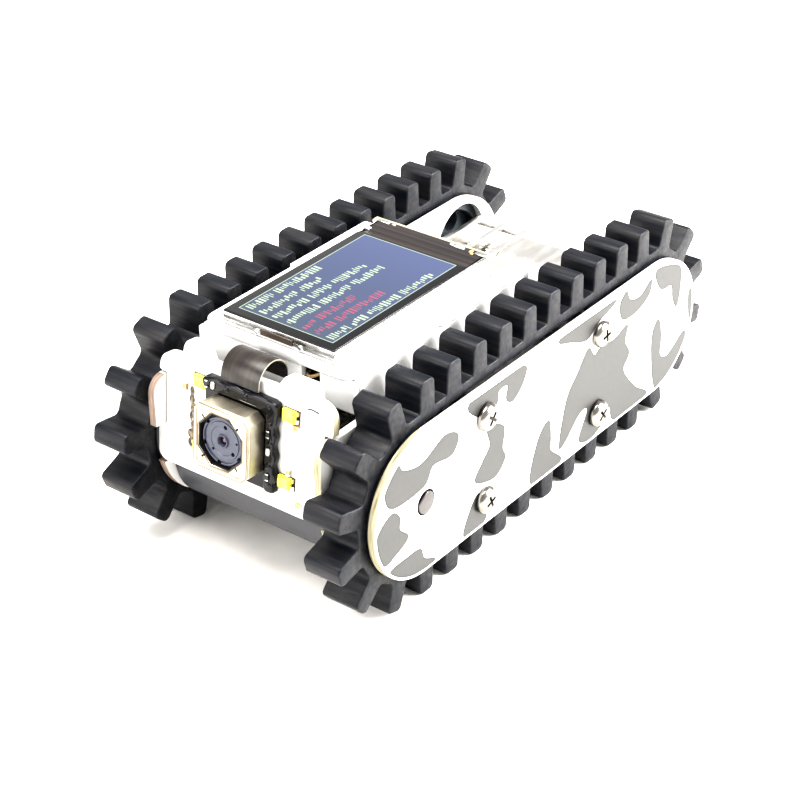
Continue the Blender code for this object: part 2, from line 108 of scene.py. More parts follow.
PANEL_PASSIVES = [
    (8.4, 4.95, 0.55, 0.34), (7.4, -1.2, 0.30, 0.4), (-9.2, 4.6, 0.34, 0.5), (9.0, -5.2, 0.5, 0.3)]

# The camera board: its parts' places and finishes, and its glue's drops and edge
CAMERA_PARTS = [
    (5.05, 3.4, "chip"), (5.1, 1.1, "ceramic"), (5.1, -2.3, "chip"), (-4.7, 6.8, "chip"),
    (-3.7, 6.9, "ceramic")]
GLUE_DROPS = [
    (5.2, 4.6), (5.3, 2.2), (5.15, -0.9), (5.2, -3.3), (-1.6, 7.0), (1.4, 7.05), (4.9, 6.9),
    (-4.4, 7.0)]
GLUE_EDGE = [
    (5.9, -4.3), (4.4, -4.2), (4.35, -1.0), (4.4, 2.0), (4.4, 5.4), (4.2, 6.0), (0.0, 6.05),
    (-3.2, 6.0), (-5.2, 6.2), (-5.5, 7.3), (-4.0, 7.75), (-2.4, 7.6), (-0.6, 7.85), (1.2, 7.6),
    (2.9, 7.85), (4.6, 7.7), (6.0, 7.55), (6.25, 6.6), (6.15, 5.2), (5.75, 4.1), (6.0, 3.0), (5.7, 1.6),
    (6.05, 0.4), (5.75, -1.0), (6.1, -2.2), (5.75, -3.2)]

# The lens barrel's (radius, depth behind its front), from the glass outwards
LENS_PROFILE = [
    (0.55, 0.80), (0.58, 0.10), (0.70, -0.16), (0.82, -0.16), (0.92, 0.08), (1.85, 0.10), (1.90, 0.03),
    (2.48, 0.03), (2.52, 0.12), (2.80, 0.12), (2.86, -0.08), (3.04, -0.08), (3.17, 0.08), (3.17, 1.3),
    (2.98, 1.5)]

# The display: each gauge row's groups along it and whether it is red, how little room still
# counts as none, the gauges' ends across their row, and the parts on the flex (X, Y, half sizes)
GAUGE_ROWS = [
    ((4.6, 8.0), False), ((6.6, 4.0), False), ((5.6, 4.0, 5.6), False), ((5.6, 5.4, 5.6), False),
    ((2.2, 7.0), True), ((3.0, 8.8), True), ((3.6, 2.6, 5.4, 6.2), False)]
ROUNDING = 1e-9
GAUGE_ENDS = ((-0.62, 0.62), (-0.62, 0.62), (-0.10, 0.62), (-0.62, 0.20), (-0.4, 0.3))
FLEX_PARTS = {
    "ceramic": [(4.6, 2.75, 0.75, 0.22)],
    "wire": [(6.5, 2.7, 0.22, 0.35), (6.9, 2.2, 0.2, 0.2)],
    "solder": [(3.3, 2.9, 0.3, 0.18), (-6.2, 2.95, 0.3, 0.14), (-8.35, 0.3, 0.3, 0.4)],
}

# The sky, and each soft light's name, place, size, power and colour
SKY_STRENGTH = 0.95
SOFTBOXES = [
    ("key", (0.34, 0.22, 0.21), (0.26, 0.26), 7.0, (1.0, 0.99, 0.97)),
    ("overhead", (-0.05, -0.10, 0.60), (0.40, 0.40), 7.0, (1.0, 0.97, 0.93)),
    ("front_fill", (-0.30, -0.70, 0.30), (0.50, 0.50), 4.8, (1.0, 0.97, 0.94)),
]


# ---- mesh helpers ----

def box(node):
    """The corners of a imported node's box, in millimetres."""
    return [[value / MM for value in corner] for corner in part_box(node)]


def arc(centre, radius, start, end, steps):
    """Points round a centre, from one angle in degrees to another."""
    turn = [math.radians(start + (end - start) * i / steps) for i in range(steps + 1)]
    return [(centre[0] + radius * math.cos(a), centre[1] + radius * math.sin(a)) for a in turn]


def circle(centre, radius, steps=32):
    return arc(centre, radius, 0, 360, steps)[:-1]


def rounded(corners, steps=6):
    """An outline through corners (u, v, radius), each turned into an arc of its radius."""
    outline = []
    for i, (u, v, radius) in enumerate(corners):
        here = Vector((u, v))
        if not radius:
            outline.append((u, v))
            continue
        back = (Vector(corners[i - 1][:2]) - here).normalized()
        ahead = (Vector(corners[(i + 1) % len(corners)][:2]) - here).normalized()
        half = back.angle(ahead) / 2
        centre = here + (back + ahead).normalized() * radius / math.sin(half)
        first = here + back * radius / math.tan(half) - centre
        sweep = (math.pi - 2 * half) * (1 if back.cross(ahead) < 0 else -1)
        for step in range(steps + 1):
            angle = sweep * step / steps
            c, s = math.cos(angle), math.sin(angle)
            outline.append((centre.x + first.x * c - first.y * s, centre.y + first.x * s + first.y * c))
    return outline


def rectangle(low, high):
    return [(low[0], low[1]), (high[0], low[1]), (high[0], high[1]), (low[0], high[1])]


def rounded_box(low, high, radius, steps=6):
    return rounded([(u, v, radius) for u, v in rectangle(low, high)], steps)


def spline(a, b, c, d, steps):
    """Points of a Catmull-Rom curve from b up to c."""
    for step in range(steps):
        t = step / steps
        yield 0.5 * (2 * b + (c - a) * t + (2 * a - 5 * b + 4 * c - d) * t * t
                     + (3 * b - a - 3 * c + d) * t ** 3)


def smooth_loop(points, steps=6):
    """A closed smooth curve through the points."""
    points = [Vector(point) for point in points]
    count = len(points)
    return [tuple(place) for i in range(count)
            for place in spline(*(points[(i + k) % count] for k in (-1, 0, 1, 2)), steps)]


def grown(outline, by):
    """The outline moved out by a distance (in, if it is negative)."""
    count = len(outline)
    area = sum(outline[i - 1][0] * outline[i][1] - outline[i][0] * outline[i - 1][1] for i in range(count))
    moved = []
    for i, (u, v) in enumerate(outline):
        before, after = outline[i - 1], outline[(i + 1) % count]
        along = Vector((after[0] - before[0], after[1] - before[1])).normalized()
        out = Vector((along.y, -along.x)) * (1 if area > 0 else -1)
        moved.append((u + out.x * by, v + out.y * by))
    return moved


def point_on(axis, u, v, w):
    """A point from its two places across an axis and its place along it."""
    point = [u, v]
    point.insert("XYZ".index(axis), w)
    return Vector(point)


def prism(loops, axis, low, high, shape=None):
    """A plate across an axis: the first loop is its outline, and the others are holes in it."""
    shape = shape or bmesh.new()
    edges = []
    for loop in loops:
        verts = [shape.verts.new(point_on(axis, u, v, low)) for u, v in loop]
        edges += [shape.edges.new((verts[i - 1], verts[i])) for i in range(len(verts))]
    filled = bmesh.ops.triangle_fill(shape, use_beauty=True, use_dissolve=False, edges=edges)
    faces = [item for item in filled["geom"] if isinstance(item, bmesh.types.BMFace)]
    raised = bmesh.ops.extrude_face_region(shape, geom=faces)
    moved = [item for item in raised["geom"] if isinstance(item, bmesh.types.BMVert)]
    bmesh.ops.translate(shape, vec=point_on(axis, 0, 0, high - low), verts=moved)
    return shape


def scaled(outline, by):
    """An outline in the can's own place, drawn out or in from its middle."""
    return [(x * by, CAN_CENTRE_Z + (z - CAN_CENTRE_Z) * by) for x, z in outline]


def bridge(shape, rings):
    """Joins each ring of vertices to the next with faces."""
    for near, far in zip(rings, rings[1:]):
        for i in range(len(near)):
            shape.faces.new((near[i - 1], near[i], far[i], far[i - 1]))


def cap(shape, rings):
    """Fills one end: the first ring is its outline, and the others are holes in it."""
    edges = [shape.edges.get((ring[i - 1], ring[i])) for ring in rings for i in range(len(ring))]
    bmesh.ops.triangle_fill(shape, use_beauty=True, use_dissolve=False, edges=edges)


def shell(loops, axis, low, high, rounding, steps=3):
    """A prism whose long edges are rounded, built from the loops drawn in towards each face."""
    shape = bmesh.new()
    bends = [math.pi / 2 * i / steps for i in reversed(range(steps + 1))]
    stations = [(low + rounding * (1 - math.sin(bend)), rounding * (1 - math.cos(bend))) for bend in bends]
    stations += [(low + high - w, inset) for w, inset in reversed(stations)]
    walls = []
    for number, loop in enumerate(loops):
        sign = 1 if number else -1
        rings = [[shape.verts.new(point_on(axis, u, v, w)) for u, v in grown(loop, sign * inset)]
                 for w, inset in stations]
        bridge(shape, rings)
        walls.append(rings)
    for end in (0, -1):
        cap(shape, [rings[end] for rings in walls])
    return shape


def turned(profile, axis, centre=(0, 0, 0), steps=40, shape=None):
    """A shape turned from (radius, place along the axis) points. A profile off the axis makes a ring."""
    shape = shape or bmesh.new()
    turns = [2 * math.pi * i / steps for i in range(steps)]
    rings = []
    for radius, along in profile:
        places = [(radius * math.cos(a), radius * math.sin(a)) for a in turns[:steps if radius else 1]]
        rings.append([shape.verts.new(point_on(axis, u, v, along) + Vector(centre)) for u, v in places])
    pairs = list(zip(rings, rings[1:]))
    if profile[0][0] and profile[-1][0]:
        pairs.append((rings[-1], rings[0]))
    for near, far in pairs:
        for i in range(steps):
            j = (i + 1) % steps
            corners = [near[i % len(near)], near[j % len(near)], far[j % len(far)], far[i % len(far)]]
            shape.faces.new(list(dict.fromkeys(corners)))
    return shape


def rod(axis, radius, low, high, centre, steps, shape=None):
    """A plain cylinder along an axis."""
    return turned([(0, low), (radius, low), (radius, high), (0, high)], axis, centre, steps, shape)


def add_box(shape, low, high):
    return prism([rectangle(low, high)], "Z", low[2], high[2], shape)


def block(low, high):
    return add_box(bmesh.new(), low, high)


def bevelled(made, width, segments=2):
    """The object with its sharp edges rounded."""
    rounding = made.modifiers.new("rounded_edges", "BEVEL")
    rounding.width = width * MM
    rounding.segments = segments
    rounding.limit_method = "ANGLE"
    rounding.angle_limit = math.radians(40)
    rounding.use_clamp_overlap = True
    return made


def piece(name, shape, finishes, slot, body="chassis", stands_for=None, bevel=0.0, place=None, smooth=35):
    """A finished piece that rides on a body: its mesh, materials and the nodes it stands for. The slot
    argument is not used.
    """
    bmesh.ops.recalc_face_normals(shape, faces=shape.faces)
    mesh = bpy.data.meshes.new(name)
    shape.to_mesh(mesh)
    shape.free()
    mesh.transform(Matrix.Scale(MM, 4))
    mesh.shade_smooth()
    mesh.set_sharp_from_angle(angle=math.radians(smooth))
    for finish in [finishes] if isinstance(finishes, str) else finishes:
        mesh.materials.append(MATERIALS[finish])
    made = bpy.data.objects.new(name, mesh)
    bpy.context.scene.collection.objects.link(made)
    if place:
        made.matrix_world = place
    if bevel:
        bevelled(made, bevel)
    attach(made, body)
    if stands_for:
        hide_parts(stands_for)
    return made


def carved(shape, cutters):
    """The shape with the cutters' shapes taken out of it, as a new bmesh."""
    objects = []
    for label, source in [("carved_body", shape)] + [(f"cutter_{i}", c) for i, c in enumerate(cutters)]:
        bmesh.ops.recalc_face_normals(source, faces=source.faces)
        mesh = bpy.data.meshes.new(label)
        source.to_mesh(mesh)
        source.free()
        made = bpy.data.objects.new(label, mesh)
        bpy.context.scene.collection.objects.link(made)
        objects.append(made)
    for cutter in objects[1:]:
        cut = objects[0].modifiers.new("cut", "BOOLEAN")
        cut.object = cutter
    bpy.context.view_layer.update()
    result = bpy.data.meshes.new_from_object(objects[0].evaluated_get(bpy.context.evaluated_depsgraph_get()))
    out = bmesh.new()
    out.from_mesh(result)
    bpy.data.meshes.remove(result)
    for made in objects:
        mesh = made.data
        bpy.data.objects.remove(made)
        bpy.data.meshes.remove(mesh)
    return out


def box_round(shape, centre, half):
    """A box round its centre, with its half sizes."""
    return add_box(shape, *([c + sign * h for c, h in zip(centre, half)] for sign in (-1, 1)))


def swung(shape, degrees, z):
    """The shape turned about Y, and moved up to a height."""
    bmesh.ops.rotate(shape, matrix=Matrix.Rotation(math.radians(degrees), 4, "Y"), verts=shape.verts)
    bmesh.ops.translate(shape, vec=(0, 0, z), verts=shape.verts)
    return shape


def paint(shape, number, chosen):
    """Gives the faces that a test of their normal and middle picks another of the piece's materials."""
    shape.normal_update()
    for face in shape.faces:
        if chosen(face.normal, face.calc_center_median()):
            face.material_index = number
    return shape


def paint_edges(shape, axis, bare):
    """Shows a board's bare cut edge, the second material, where the test of a face's middle says so."""
    number = "XYZ".index(axis)
    return paint(shape, 1, lambda normal, middle: abs(normal[number]) < 0.7 and bare(middle))


# ---- materials ----

def surface(name, colour, roughness, metallic=0.0, **constants):
    """A material and its shader. Constants are set directly on the shader's sockets."""
    made = bpy.data.materials.new(name)
    made.use_nodes = True
    shader = made.node_tree.nodes["Principled BSDF"]
    shader.inputs["Base Color"].default_value = (*colour, 1)
    shader.inputs["Roughness"].default_value = roughness
    shader.inputs["Metallic"].default_value = metallic
    for socket, value in constants.items():
        shader.inputs[socket.replace("_", " ")].default_value = value
    return made, shader


def noise(made, scale, detail=3.0, stretch=(1, 1, 1)):
    """A noise node on the object's own coordinates, stretched along an axis where asked."""
    nodes, links = made.node_tree.nodes, made.node_tree.links
    coordinates = nodes.new("ShaderNodeTexCoord")
    mapping = nodes.new("ShaderNodeMapping")
    mapping.inputs["Scale"].default_value = stretch
    texture = nodes.new("ShaderNodeTexNoise")
    texture.inputs["Scale"].default_value = scale
    texture.inputs["Detail"].default_value = detail
    links.new(coordinates.outputs["Object"], mapping.inputs["Vector"])
    links.new(mapping.outputs["Vector"], texture.inputs["Vector"])
    return texture.outputs["Fac"]


def ramp(made, factor, stops):
    """A colour ramp over a factor, from (place, colour) stops."""
    node = made.node_tree.nodes.new("ShaderNodeValToRGB")
    elements = node.color_ramp.elements
    while len(elements) < len(stops):
        elements.new(0.5)
    for element, (place, colour) in zip(elements, stops):
        element.position = place
        element.color = (*colour, 1)
    made.node_tree.links.new(factor, node.inputs["Fac"])
    return node.outputs["Color"]


def vary_colour(made, shader, factor, stops):
    made.node_tree.links.new(ramp(made, factor, stops), shader.inputs["Base Color"])


def vary_roughness(made, shader, factor, low, high):
    node = made.node_tree.nodes.new("ShaderNodeMapRange")
    node.inputs["To Min"].default_value = low
    node.inputs["To Max"].default_value = high
    made.node_tree.links.new(factor, node.inputs["Value"])
    made.node_tree.links.new(node.outputs["Result"], shader.inputs["Roughness"])


def bump(made, shader, factor, height, strength=1.0):
    """Surface relief of a height in millimetres."""
    node = made.node_tree.nodes.new("ShaderNodeBump")
    node.inputs["Distance"].default_value = height * MM
    node.inputs["Strength"].default_value = strength
    made.node_tree.links.new(factor, node.inputs["Height"])
    made.node_tree.links.new(node.outputs["Normal"], shader.inputs["Normal"])


def shades(colour, dark, light):
    """Two stops of one colour, darker and lighter."""
    return [(0.3, tuple(min(1, c * dark) for c in colour)), (0.7, tuple(min(1, c * light) for c in colour))]


def grained(name, colour, roughness, grain, stops, relief, gloss=None, gloss_grain=None, relief_grain=None,
            **constants):
    """A material whose colour, gloss and relief follow a grain, or one of their own where it is given."""
    made, shader = surface(name, colour, roughness, **constants)
    marks = noise(made, *grain)
    vary_colour(made, shader, marks, stops)
    if gloss:
        vary_roughness(made, shader, noise(made, *gloss_grain) if gloss_grain else marks, *gloss)
    bump(made, shader, noise(made, *relief_grain) if relief_grain else marks, *relief)
    return made


def rubber():
    stops = [(0.35, (0.003, 0.0045, 0.0085)), (0.7, (0.017, 0.0165, 0.018))]
    return grained("moulded_rubber", (0.009, 0.010, 0.013), 0.42, (1100, 4, (0.10, 1, 1)), stops,
                   (0.045, 0.8), (0.26, 0.62), (1500, 5, (0.3, 1, 1)), (2200, 5, (0.20, 1, 1)),
                   Specular_IOR_Level=0.22)


def solder_mask():
    stops = [(0.3, (0.56, 0.56, 0.555)), (0.7, (0.64, 0.64, 0.635))]
    return grained("white_solder_mask", (0.60, 0.60, 0.59), 0.34, (220, 3), stops, (0.012, 0.4), (0.26, 0.40),
                   (1400, 4), (3000, 3), Coat_Weight=0.25, Coat_Roughness=0.15)


def board_edge(axis, name="board_edge", shade_tint=(1.0, 1.0, 1.0)):
    """A fibreglass board's cut edge: pale yellow laminate in layers across its thickness."""
    stretch = tuple(12.0 if letter == axis else 0.6 for letter in "XYZ")
    stops = [(0.30, (0.15, 0.13, 0.07)), (0.5, (0.30, 0.275, 0.185)), (0.72, (0.42, 0.40, 0.31))]
    # A shade tint darkens the laminate and turns it pinker, for painted shade
    stops = [(at, tuple(c * k for c, k in zip(colour, shade_tint))) for at, colour in stops]
    return grained(f"{name}_{axis.lower()}", (0.30, 0.28, 0.19), 0.6, (500, 3, stretch), stops, (0.02, 0.6))


def camouflage(name, colour):
    return grained(name, colour, 0.42, (1800, 4), shades(colour, 0.92, 1.08), (0.008, 0.5))


def metal(name, colour, roughness, grain=(1, 1, 1), scale=900):
    """A plated metal with faint brushing and worn, uneven gloss."""
    return grained(name, colour, roughness, (scale, 4, grain), shades(colour, 0.82, 1.12), (0.003, 0.4),
                   (roughness * 0.75, roughness * 1.35), metallic=1.0)


def plastic(name, colour, roughness, scale=1600, **constants):
    return grained(name, colour, roughness, (scale, 4), shades(colour, 0.85, 1.15), (0.01, 0.5),
                   (roughness * 0.85, roughness * 1.2), **constants)


def lit(name, colour, strength, base=(0.02, 0.02, 0.03), roughness=0.12):
    """Something that glows under a glossy cover: a screen's pixels or a phosphor."""
    made, shader = surface(name, base, roughness, Specular_IOR_Level=0.4)
    shader.inputs["Emission Color"].default_value = (*colour, 1)
    shader.inputs["Emission Strength"].default_value = strength
    return made, shader


def screen_blue():
    """The lit screen: blue, paler towards the rear, with faint unevenness."""
    made, shader = lit("screen_blue", (0.10, 0.16, 0.36), 1.0)
    nodes, links = made.node_tree.nodes, made.node_tree.links
    split = nodes.new("ShaderNodeSeparateXYZ")
    coordinates = nodes.new("ShaderNodeTexCoord")
    links.new(coordinates.outputs["Object"], split.inputs["Vector"])
    low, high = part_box("display_glass")
    along = nodes.new("ShaderNodeMapRange")
    along.inputs["From Min"].default_value = low[1]
    along.inputs["From Max"].default_value = high[1]
    links.new(split.outputs["Y"], along.inputs["Value"])
    stops = [(0.0, (0.024, 0.055, 0.088)), (0.55, (0.031, 0.062, 0.145)), (1.0, (0.050, 0.090, 0.215))]
    links.new(ramp(made, along.outputs["Result"], stops), shader.inputs["Emission Color"])
    return made


def phosphor():
    """The yellow face of a small light package, grainy."""
    stops = [(0.3, (0.50, 0.50, 0.03)), (0.7, (0.72, 0.74, 0.14))]
    return grained("yellow_phosphor", (0.62, 0.62, 0.06), 0.45, (4000, 4), stops, (0.02, 0.5))


def flex_film():
    """Dark brown flexible circuit with long conductor streaks across the display."""
    stops = [(0.40, (0.005, 0.004, 0.0045)), (0.60, (0.016, 0.011, 0.010)), (0.72, (0.09, 0.07, 0.065))]
    return grained("flex_dark", (0.012, 0.008, 0.0065), 0.34, (900, 3, (0.02, 1, 1)), stops, (0.015, 0.6))


def ribbon_film():
    """Dark polyimide with fine conductor lines along its length, and a brushed sheen."""
    stops = [(0.35, (0.011, 0.009, 0.0085)), (0.65, (0.026, 0.021, 0.018))]
    return grained("ribbon_film", (0.018, 0.015, 0.014), 0.32, (1800, 2, (1, 0.02, 0.02)), stops,
                   (0.012, 0.5), (0.22, 0.42), (500, 4), Specular_IOR_Level=0.42)


def dried_flux():
    """A pale yellow crust with dark specks."""
    stops = [(0.40, (0.012, 0.009, 0.006)), (0.50, (0.085, 0.065, 0.035)), (0.7, (0.20, 0.175, 0.11))]
    return grained("dried_flux", (0.16, 0.14, 0.07), 0.35, (1500, 3), stops, (0.03, 0.6))


MATERIALS = {
    "rubber": rubber(),
    "mask": solder_mask(),
    "edge_x": board_edge("X"),
    "edge_y": board_edge("Y"),
    "edge_z": board_edge("Z"),
    # The far right plate's edge: a darker, pinker copy of the board edge, painted shade
    "shaded_inner_edge": board_edge("X", "shaded_inner_plate_edge", (0.60, 0.49, 0.57)),
    "camo": camouflage("camouflage_grey", (0.0245, 0.0245, 0.0245)),
    "camo_line": camouflage("camouflage_outline", (0.010, 0.0115, 0.012)),
    # Grey for the thin lines beside the display: painted shadow of the display on the deck
    "printed_grey": camouflage("printed_grey", (0.20, 0.20, 0.195)),
    "screw": metal("nickel_plate", (0.23, 0.22, 0.205), 0.20),
    "steel": metal("plain_steel", (0.62, 0.61, 0.59), 0.32, (1, 0.2, 1)),
    "shaft": metal("shaft_steel", (0.105, 0.10, 0.10), 0.34, (1, 0.2, 1)),
    "frame": metal("display_tin", (0.50, 0.50, 0.49), 0.24),
    "can": metal("camera_plate", (0.55, 0.51, 0.42), 0.38, (1, 0.3, 1), 700),
    # Dark tan for the lines on the can: painted shade of its lip and grooves
    "can_seam": metal("camera_plate_groove_shade", (0.13, 0.095, 0.06), 0.45),
    "gold": metal("gold_pad", (0.60, 0.42, 0.16), 0.30),
    "gear": metal("gear_steel", (0.80, 0.78, 0.74), 0.30, (1, 0.2, 1)),
    "solder": metal("solder_tin", (0.60, 0.61, 0.62), 0.25),
    "cover": plastic("motor_cover_grey", (0.030, 0.032, 0.038), 0.42),
    "black": plastic("black_moulding", (0.007, 0.007, 0.008), 0.38),
    "drum": plastic("drum_moulding", (0.055, 0.066, 0.078), 0.45),
    "glue": plastic("black_glue", (0.0035, 0.004, 0.006), 0.16, 700, Specular_IOR_Level=0.32),
    "bezel": plastic("bezel_black", (0.004, 0.004, 0.005), 0.10, Specular_IOR_Level=0.4),
    "flex": flex_film(),
    "tape": plastic("brown_tape", (0.060, 0.046, 0.036), 0.30, 500),
    "flex_edge": plastic("flex_cut_edge", (0.30, 0.27, 0.23), 0.35),
    "ceramic": plastic("white_ceramic", (0.55, 0.54, 0.50), 0.45),
    "chip": plastic("chip_package", (0.012, 0.012, 0.013), 0.50),
    "foil": metal("pouch_foil", (0.52, 0.53, 0.55), 0.38),
    "wire": plastic("wire_tan", (0.34, 0.23, 0.11), 0.40),
    "lens_ring": plastic("lens_ring", (0.045, 0.050, 0.074), 0.35),
    "screen": screen_blue(),
    "lens_eye": plastic("lens_eye", (0.085, 0.018, 0.040), 0.05, Coat_Weight=1.0, Coat_Roughness=0.02),
    "phosphor": phosphor(),
    "ribbon": ribbon_film(),
    "flux": dried_flux(),
    "floor": plastic("floor_paper", (0.86, 0.85, 0.83), 0.85, 60),
    "pixel_white": lit("pixel_white", (0.56, 0.70, 0.45), 1.0)[0],
    "pixel_red": lit("pixel_red", (0.42, 0.06, 0.11), 1.0)[0],
}


# ---- tracks ----

def belt_frame(along):
    """A place on a belt's cord line and the way out from it, at a distance along the belt."""
    run, bend = 2 * BELT_Y, math.pi * PITCH_R
    along %= 2 * (run + bend)
    if along < run:
        y = along - BELT_Y
        lift = TOP_LIFT + TOP_BULGE * (1 - (y / BELT_Y) ** 2)
        return Vector((y, BELT_Z + PITCH_R + lift)), Vector((0, 1))
    if along < run + bend:
        turn, end = math.pi / 2 - (along - run) / PITCH_R, 1
    elif along < 2 * run + bend:
        return Vector((BELT_Y - (along - run - bend), BELT_Z - PITCH_R)), Vector((0, -1))
    else:
        turn, end = -math.pi / 2 - (along - 2 * run - bend) / PITCH_R, -1
    out = Vector((math.cos(turn), math.sin(turn)))
    lift = TOP_LIFT * max(0, out.y) ** 2
    return Vector((end * BELT_Y, BELT_Z + lift)) + out * PITCH_R, out


def belt_point(along, radius):
    place, out = belt_frame(along)
    return tuple(place + out * (radius - PITCH_R))


def lug_outline(middle):
    """The belt's outer edge over one lug: a filleted root, drafted sides and a round-cornered tip."""
    place, out = belt_frame(middle)
    back = Vector((out.y, -out.x))
    half, tip, corner_r = LUG_WIDTH / 2, BELT_Z - PITCH_R, 0.8
    draft, root = 0.10, BAND_OUTER_R - PITCH_R
    corner = half - draft - corner_r
    edge = [(-half - 0.10, root + 0.12), (-half, root + 0.45)]
    edge += arc((-corner, tip - corner_r), corner_r, 180, 90, 5)
    edge += arc((corner, tip - corner_r), corner_r, 90, 0, 5)
    edge += [(half, root + 0.45), (half + 0.10, root + 0.12)]
    foot = half + 0.38
    points = [belt_point(middle - foot, BAND_OUTER_R)]
    points += [tuple(place + back * a + out * h) for a, h in edge]
    return points + [belt_point(middle + foot, BAND_OUTER_R)]


def track_belt(name):
    """One rubber belt: a smooth band with lugs right across it."""
    length = 4 * BELT_Y + 2 * math.pi * PITCH_R
    pitch = length / LUG_COUNT
    outer = []
    for lug in range(LUG_COUNT):
        middle = LUG_START[name] + lug * pitch
        outer += lug_outline(middle)
        outer += [belt_point(middle + pitch * share, BAND_OUTER_R) for share in (0.42, 0.5, 0.58)]
    steps = 5 * LUG_COUNT
    inner = [belt_point(length * i / steps, BAND_INNER_R) for i in range(steps)]
    low, high = box(f"{name}_track_belt")
    shape = shell([outer, inner], "X", low[0], high[0], 0.22)
    piece(f"{name}_belt_rubber", shape, "rubber", "rubber", stands_for=f"{name}_track_belt", smooth=40)


# ---- side plates ----

def stadium(radius, steps=48):
    return arc((AXLE_Y, AXLE_Z), radius, -90, 90, steps) + arc((-AXLE_Y, AXLE_Z), radius, 90, 270, steps)


def kept_inside(points, radius):
    """Points drawn back to the plate's printed area where they would pass its edge."""
    kept = []
    for y, z in points:
        middle = Vector((max(-AXLE_Y, min(AXLE_Y, y)), AXLE_Z))
        out = Vector((y, z)) - middle
        if out.length > radius:
            out *= radius / out.length
        kept.append(tuple(middle + out))
    return kept


# The camouflage print: each patch's own corners, as (Y, Z) in millimetres
CAMOUFLAGE = [
    [(-33.6, 22.0), (-31.8, 23.2), (-30.6, 21.6), (-27.0, 20.8), (-22.5, 22.4), (-19.8, 21.2),
     (-21.0, 19.2), (-24.8, 19.6), (-26.6, 17.6), (-32.4, 17.6), (-34.0, 19.8)],
    [(-35.8, 14.8), (-33.0, 16.8), (-31.4, 15.6), (-31.4, 13.8), (-29.8, 12.0), (-32.2, 10.8),
     (-35.2, 10.2)],
    [(-33.4, 8.6), (-30.0, 9.0), (-27.4, 8.8), (-26.6, 7.0), (-24.4, 5.6), (-28.6, 5.4), (-31.4, 6.4)],
    [(-17.4, 24.8), (-6.6, 24.8), (-5.8, 22.6), (-8.0, 20.6), (-9.6, 21.4), (-9.4, 23.4), (-11.4, 23.4),
     (-11.8, 21.8), (-14.8, 21.4)],
    [(-13.6, 19.2), (-10.2, 17.6), (-10.4, 14.6), (-9.8, 12.8), (-12.0, 11.2), (-16.0, 12.6),
     (-14.6, 14.6), (-13.0, 16.4)],
    [(-15.4, 10.4), (-17.6, 8.0), (-18.2, 5.2), (-14.2, 5.2), (-13.8, 7.4)],
    [(0.0, 13.4), (-2.4, 11.4), (-3.6, 5.0), (3.2, 5.0), (0.6, 8.6), (0.6, 10.4)],
    [(8.9, 19.9), (6.6, 17.4), (4.2, 14.6), (2.8, 8.6), (3.8, 8.0), (7.4, 11.0), (9.4, 10.6),
     (7.6, 6.8), (10.4, 5.0), (13.2, 6.6), (15.0, 8.4), (16.4, 5.0), (24.4, 5.0), (21.2, 8.4),
     (18.0, 12.4), (19.2, 14.6), (18.0, 16.8), (18.4, 19.2), (15.2, 18.4), (12.2, 18.8), (10.4, 18.2)],
    [(2.2, 24.8), (15.0, 24.8), (11.0, 23.0), (8.6, 21.6), (5.2, 22.8)],
    [(16.4, 23.2), (17.8, 24.8), (18.8, 22.8), (21.4, 22.2), (24.0, 23.6), (23.6, 21.6), (20.4, 20.4),
     (17.2, 20.8)],
    [(25.4, 24.9), (31.4, 22.6), (32.0, 19.2), (31.4, 16.6), (30.2, 18.4), (29.6, 20.6), (26.8, 21.2)],
    [(25.2, 13.8), (26.6, 16.4), (27.6, 13.4), (27.6, 10.4), (29.8, 9.4), (33.8, 11.4), (34.0, 9.6),
     (30.2, 6.4), (26.8, 5.4)],
    [(34.6, 17.0), (36.6, 17.4), (36.6, 13.4), (35.2, 13.0)],
]


def outer_plate(name, side):
    """The printed side plate: a board with a cut edge, its holes, a border line and the camouflage patches.

    The right plate is the left one turned half round, so that its shaft hole is at the rear.
    """
    low, high = box(f"{name}_outer_plate")
    shaft_y = DRIVE_END[name] * AXLE_Y
    holes = [circle((y, z), SCREW_HOLE_R, 24) for y in SCREW_Y for z in SCREW_Z]
    holes.append(circle((shaft_y, AXLE_Z), SHAFT_HOLE_R))
    shape = shell([stadium(PLATE_R)] + holes, "X", low[0], high[0], 0.06, 2)
    paint_edges(shape, "X", lambda middle: side * middle.y < BARE_EDGE_Y)
    # The shaft hole's wall takes the black chip finish: painted shade inside the hole
    paint(shape, 2, lambda normal, middle: math.dist(middle.yz, (shaft_y, AXLE_Z)) < SHAFT_HOLE_R + 0.14)
    piece(f"{name}_plate_board", shape, ["mask", "edge_x", "chip"], "printed_board",
          stands_for=f"{name}_outer_plate", smooth=50)
    face = high[0] if side > 0 else low[0]
    patches, line, rim = bmesh.new(), bmesh.new(), bmesh.new()
    for number, corners in enumerate(CAMOUFLAGE):
        corners = kept_inside([(side * y, z) for y, z in corners], PRINT_R)
        outline = kept_inside(smooth_loop(corners), PRINT_R)
        outer = kept_inside(grown(outline, OUTLINE_WIDTH), PRINT_R + OUTLINE_WIDTH)
        film(patches, [outline], face, side * (0.012 + 0.0008 * number))
        film(line, [outer], face, side * (0.003 + 0.0004 * number))
    film(rim, [stadium(PRINT_R + 0.14), stadium(PRINT_R + 0.08)], face, side * 0.006)
    piece(f"{name}_plate_camouflage", patches, "camo", "printed_board")
    piece(f"{name}_plate_outlines", line, "camo_line", "printed_board")
    piece(f"{name}_plate_border", rim, "camo_line", "printed_board")


def film(shape, loops, face, thickness):
    """A thin printed film on a plate's face, from just under it to its own thickness above it."""
    low, high = sorted((face - thickness * 0.2, face + thickness))
    prism(loops, "X", low, high, shape)


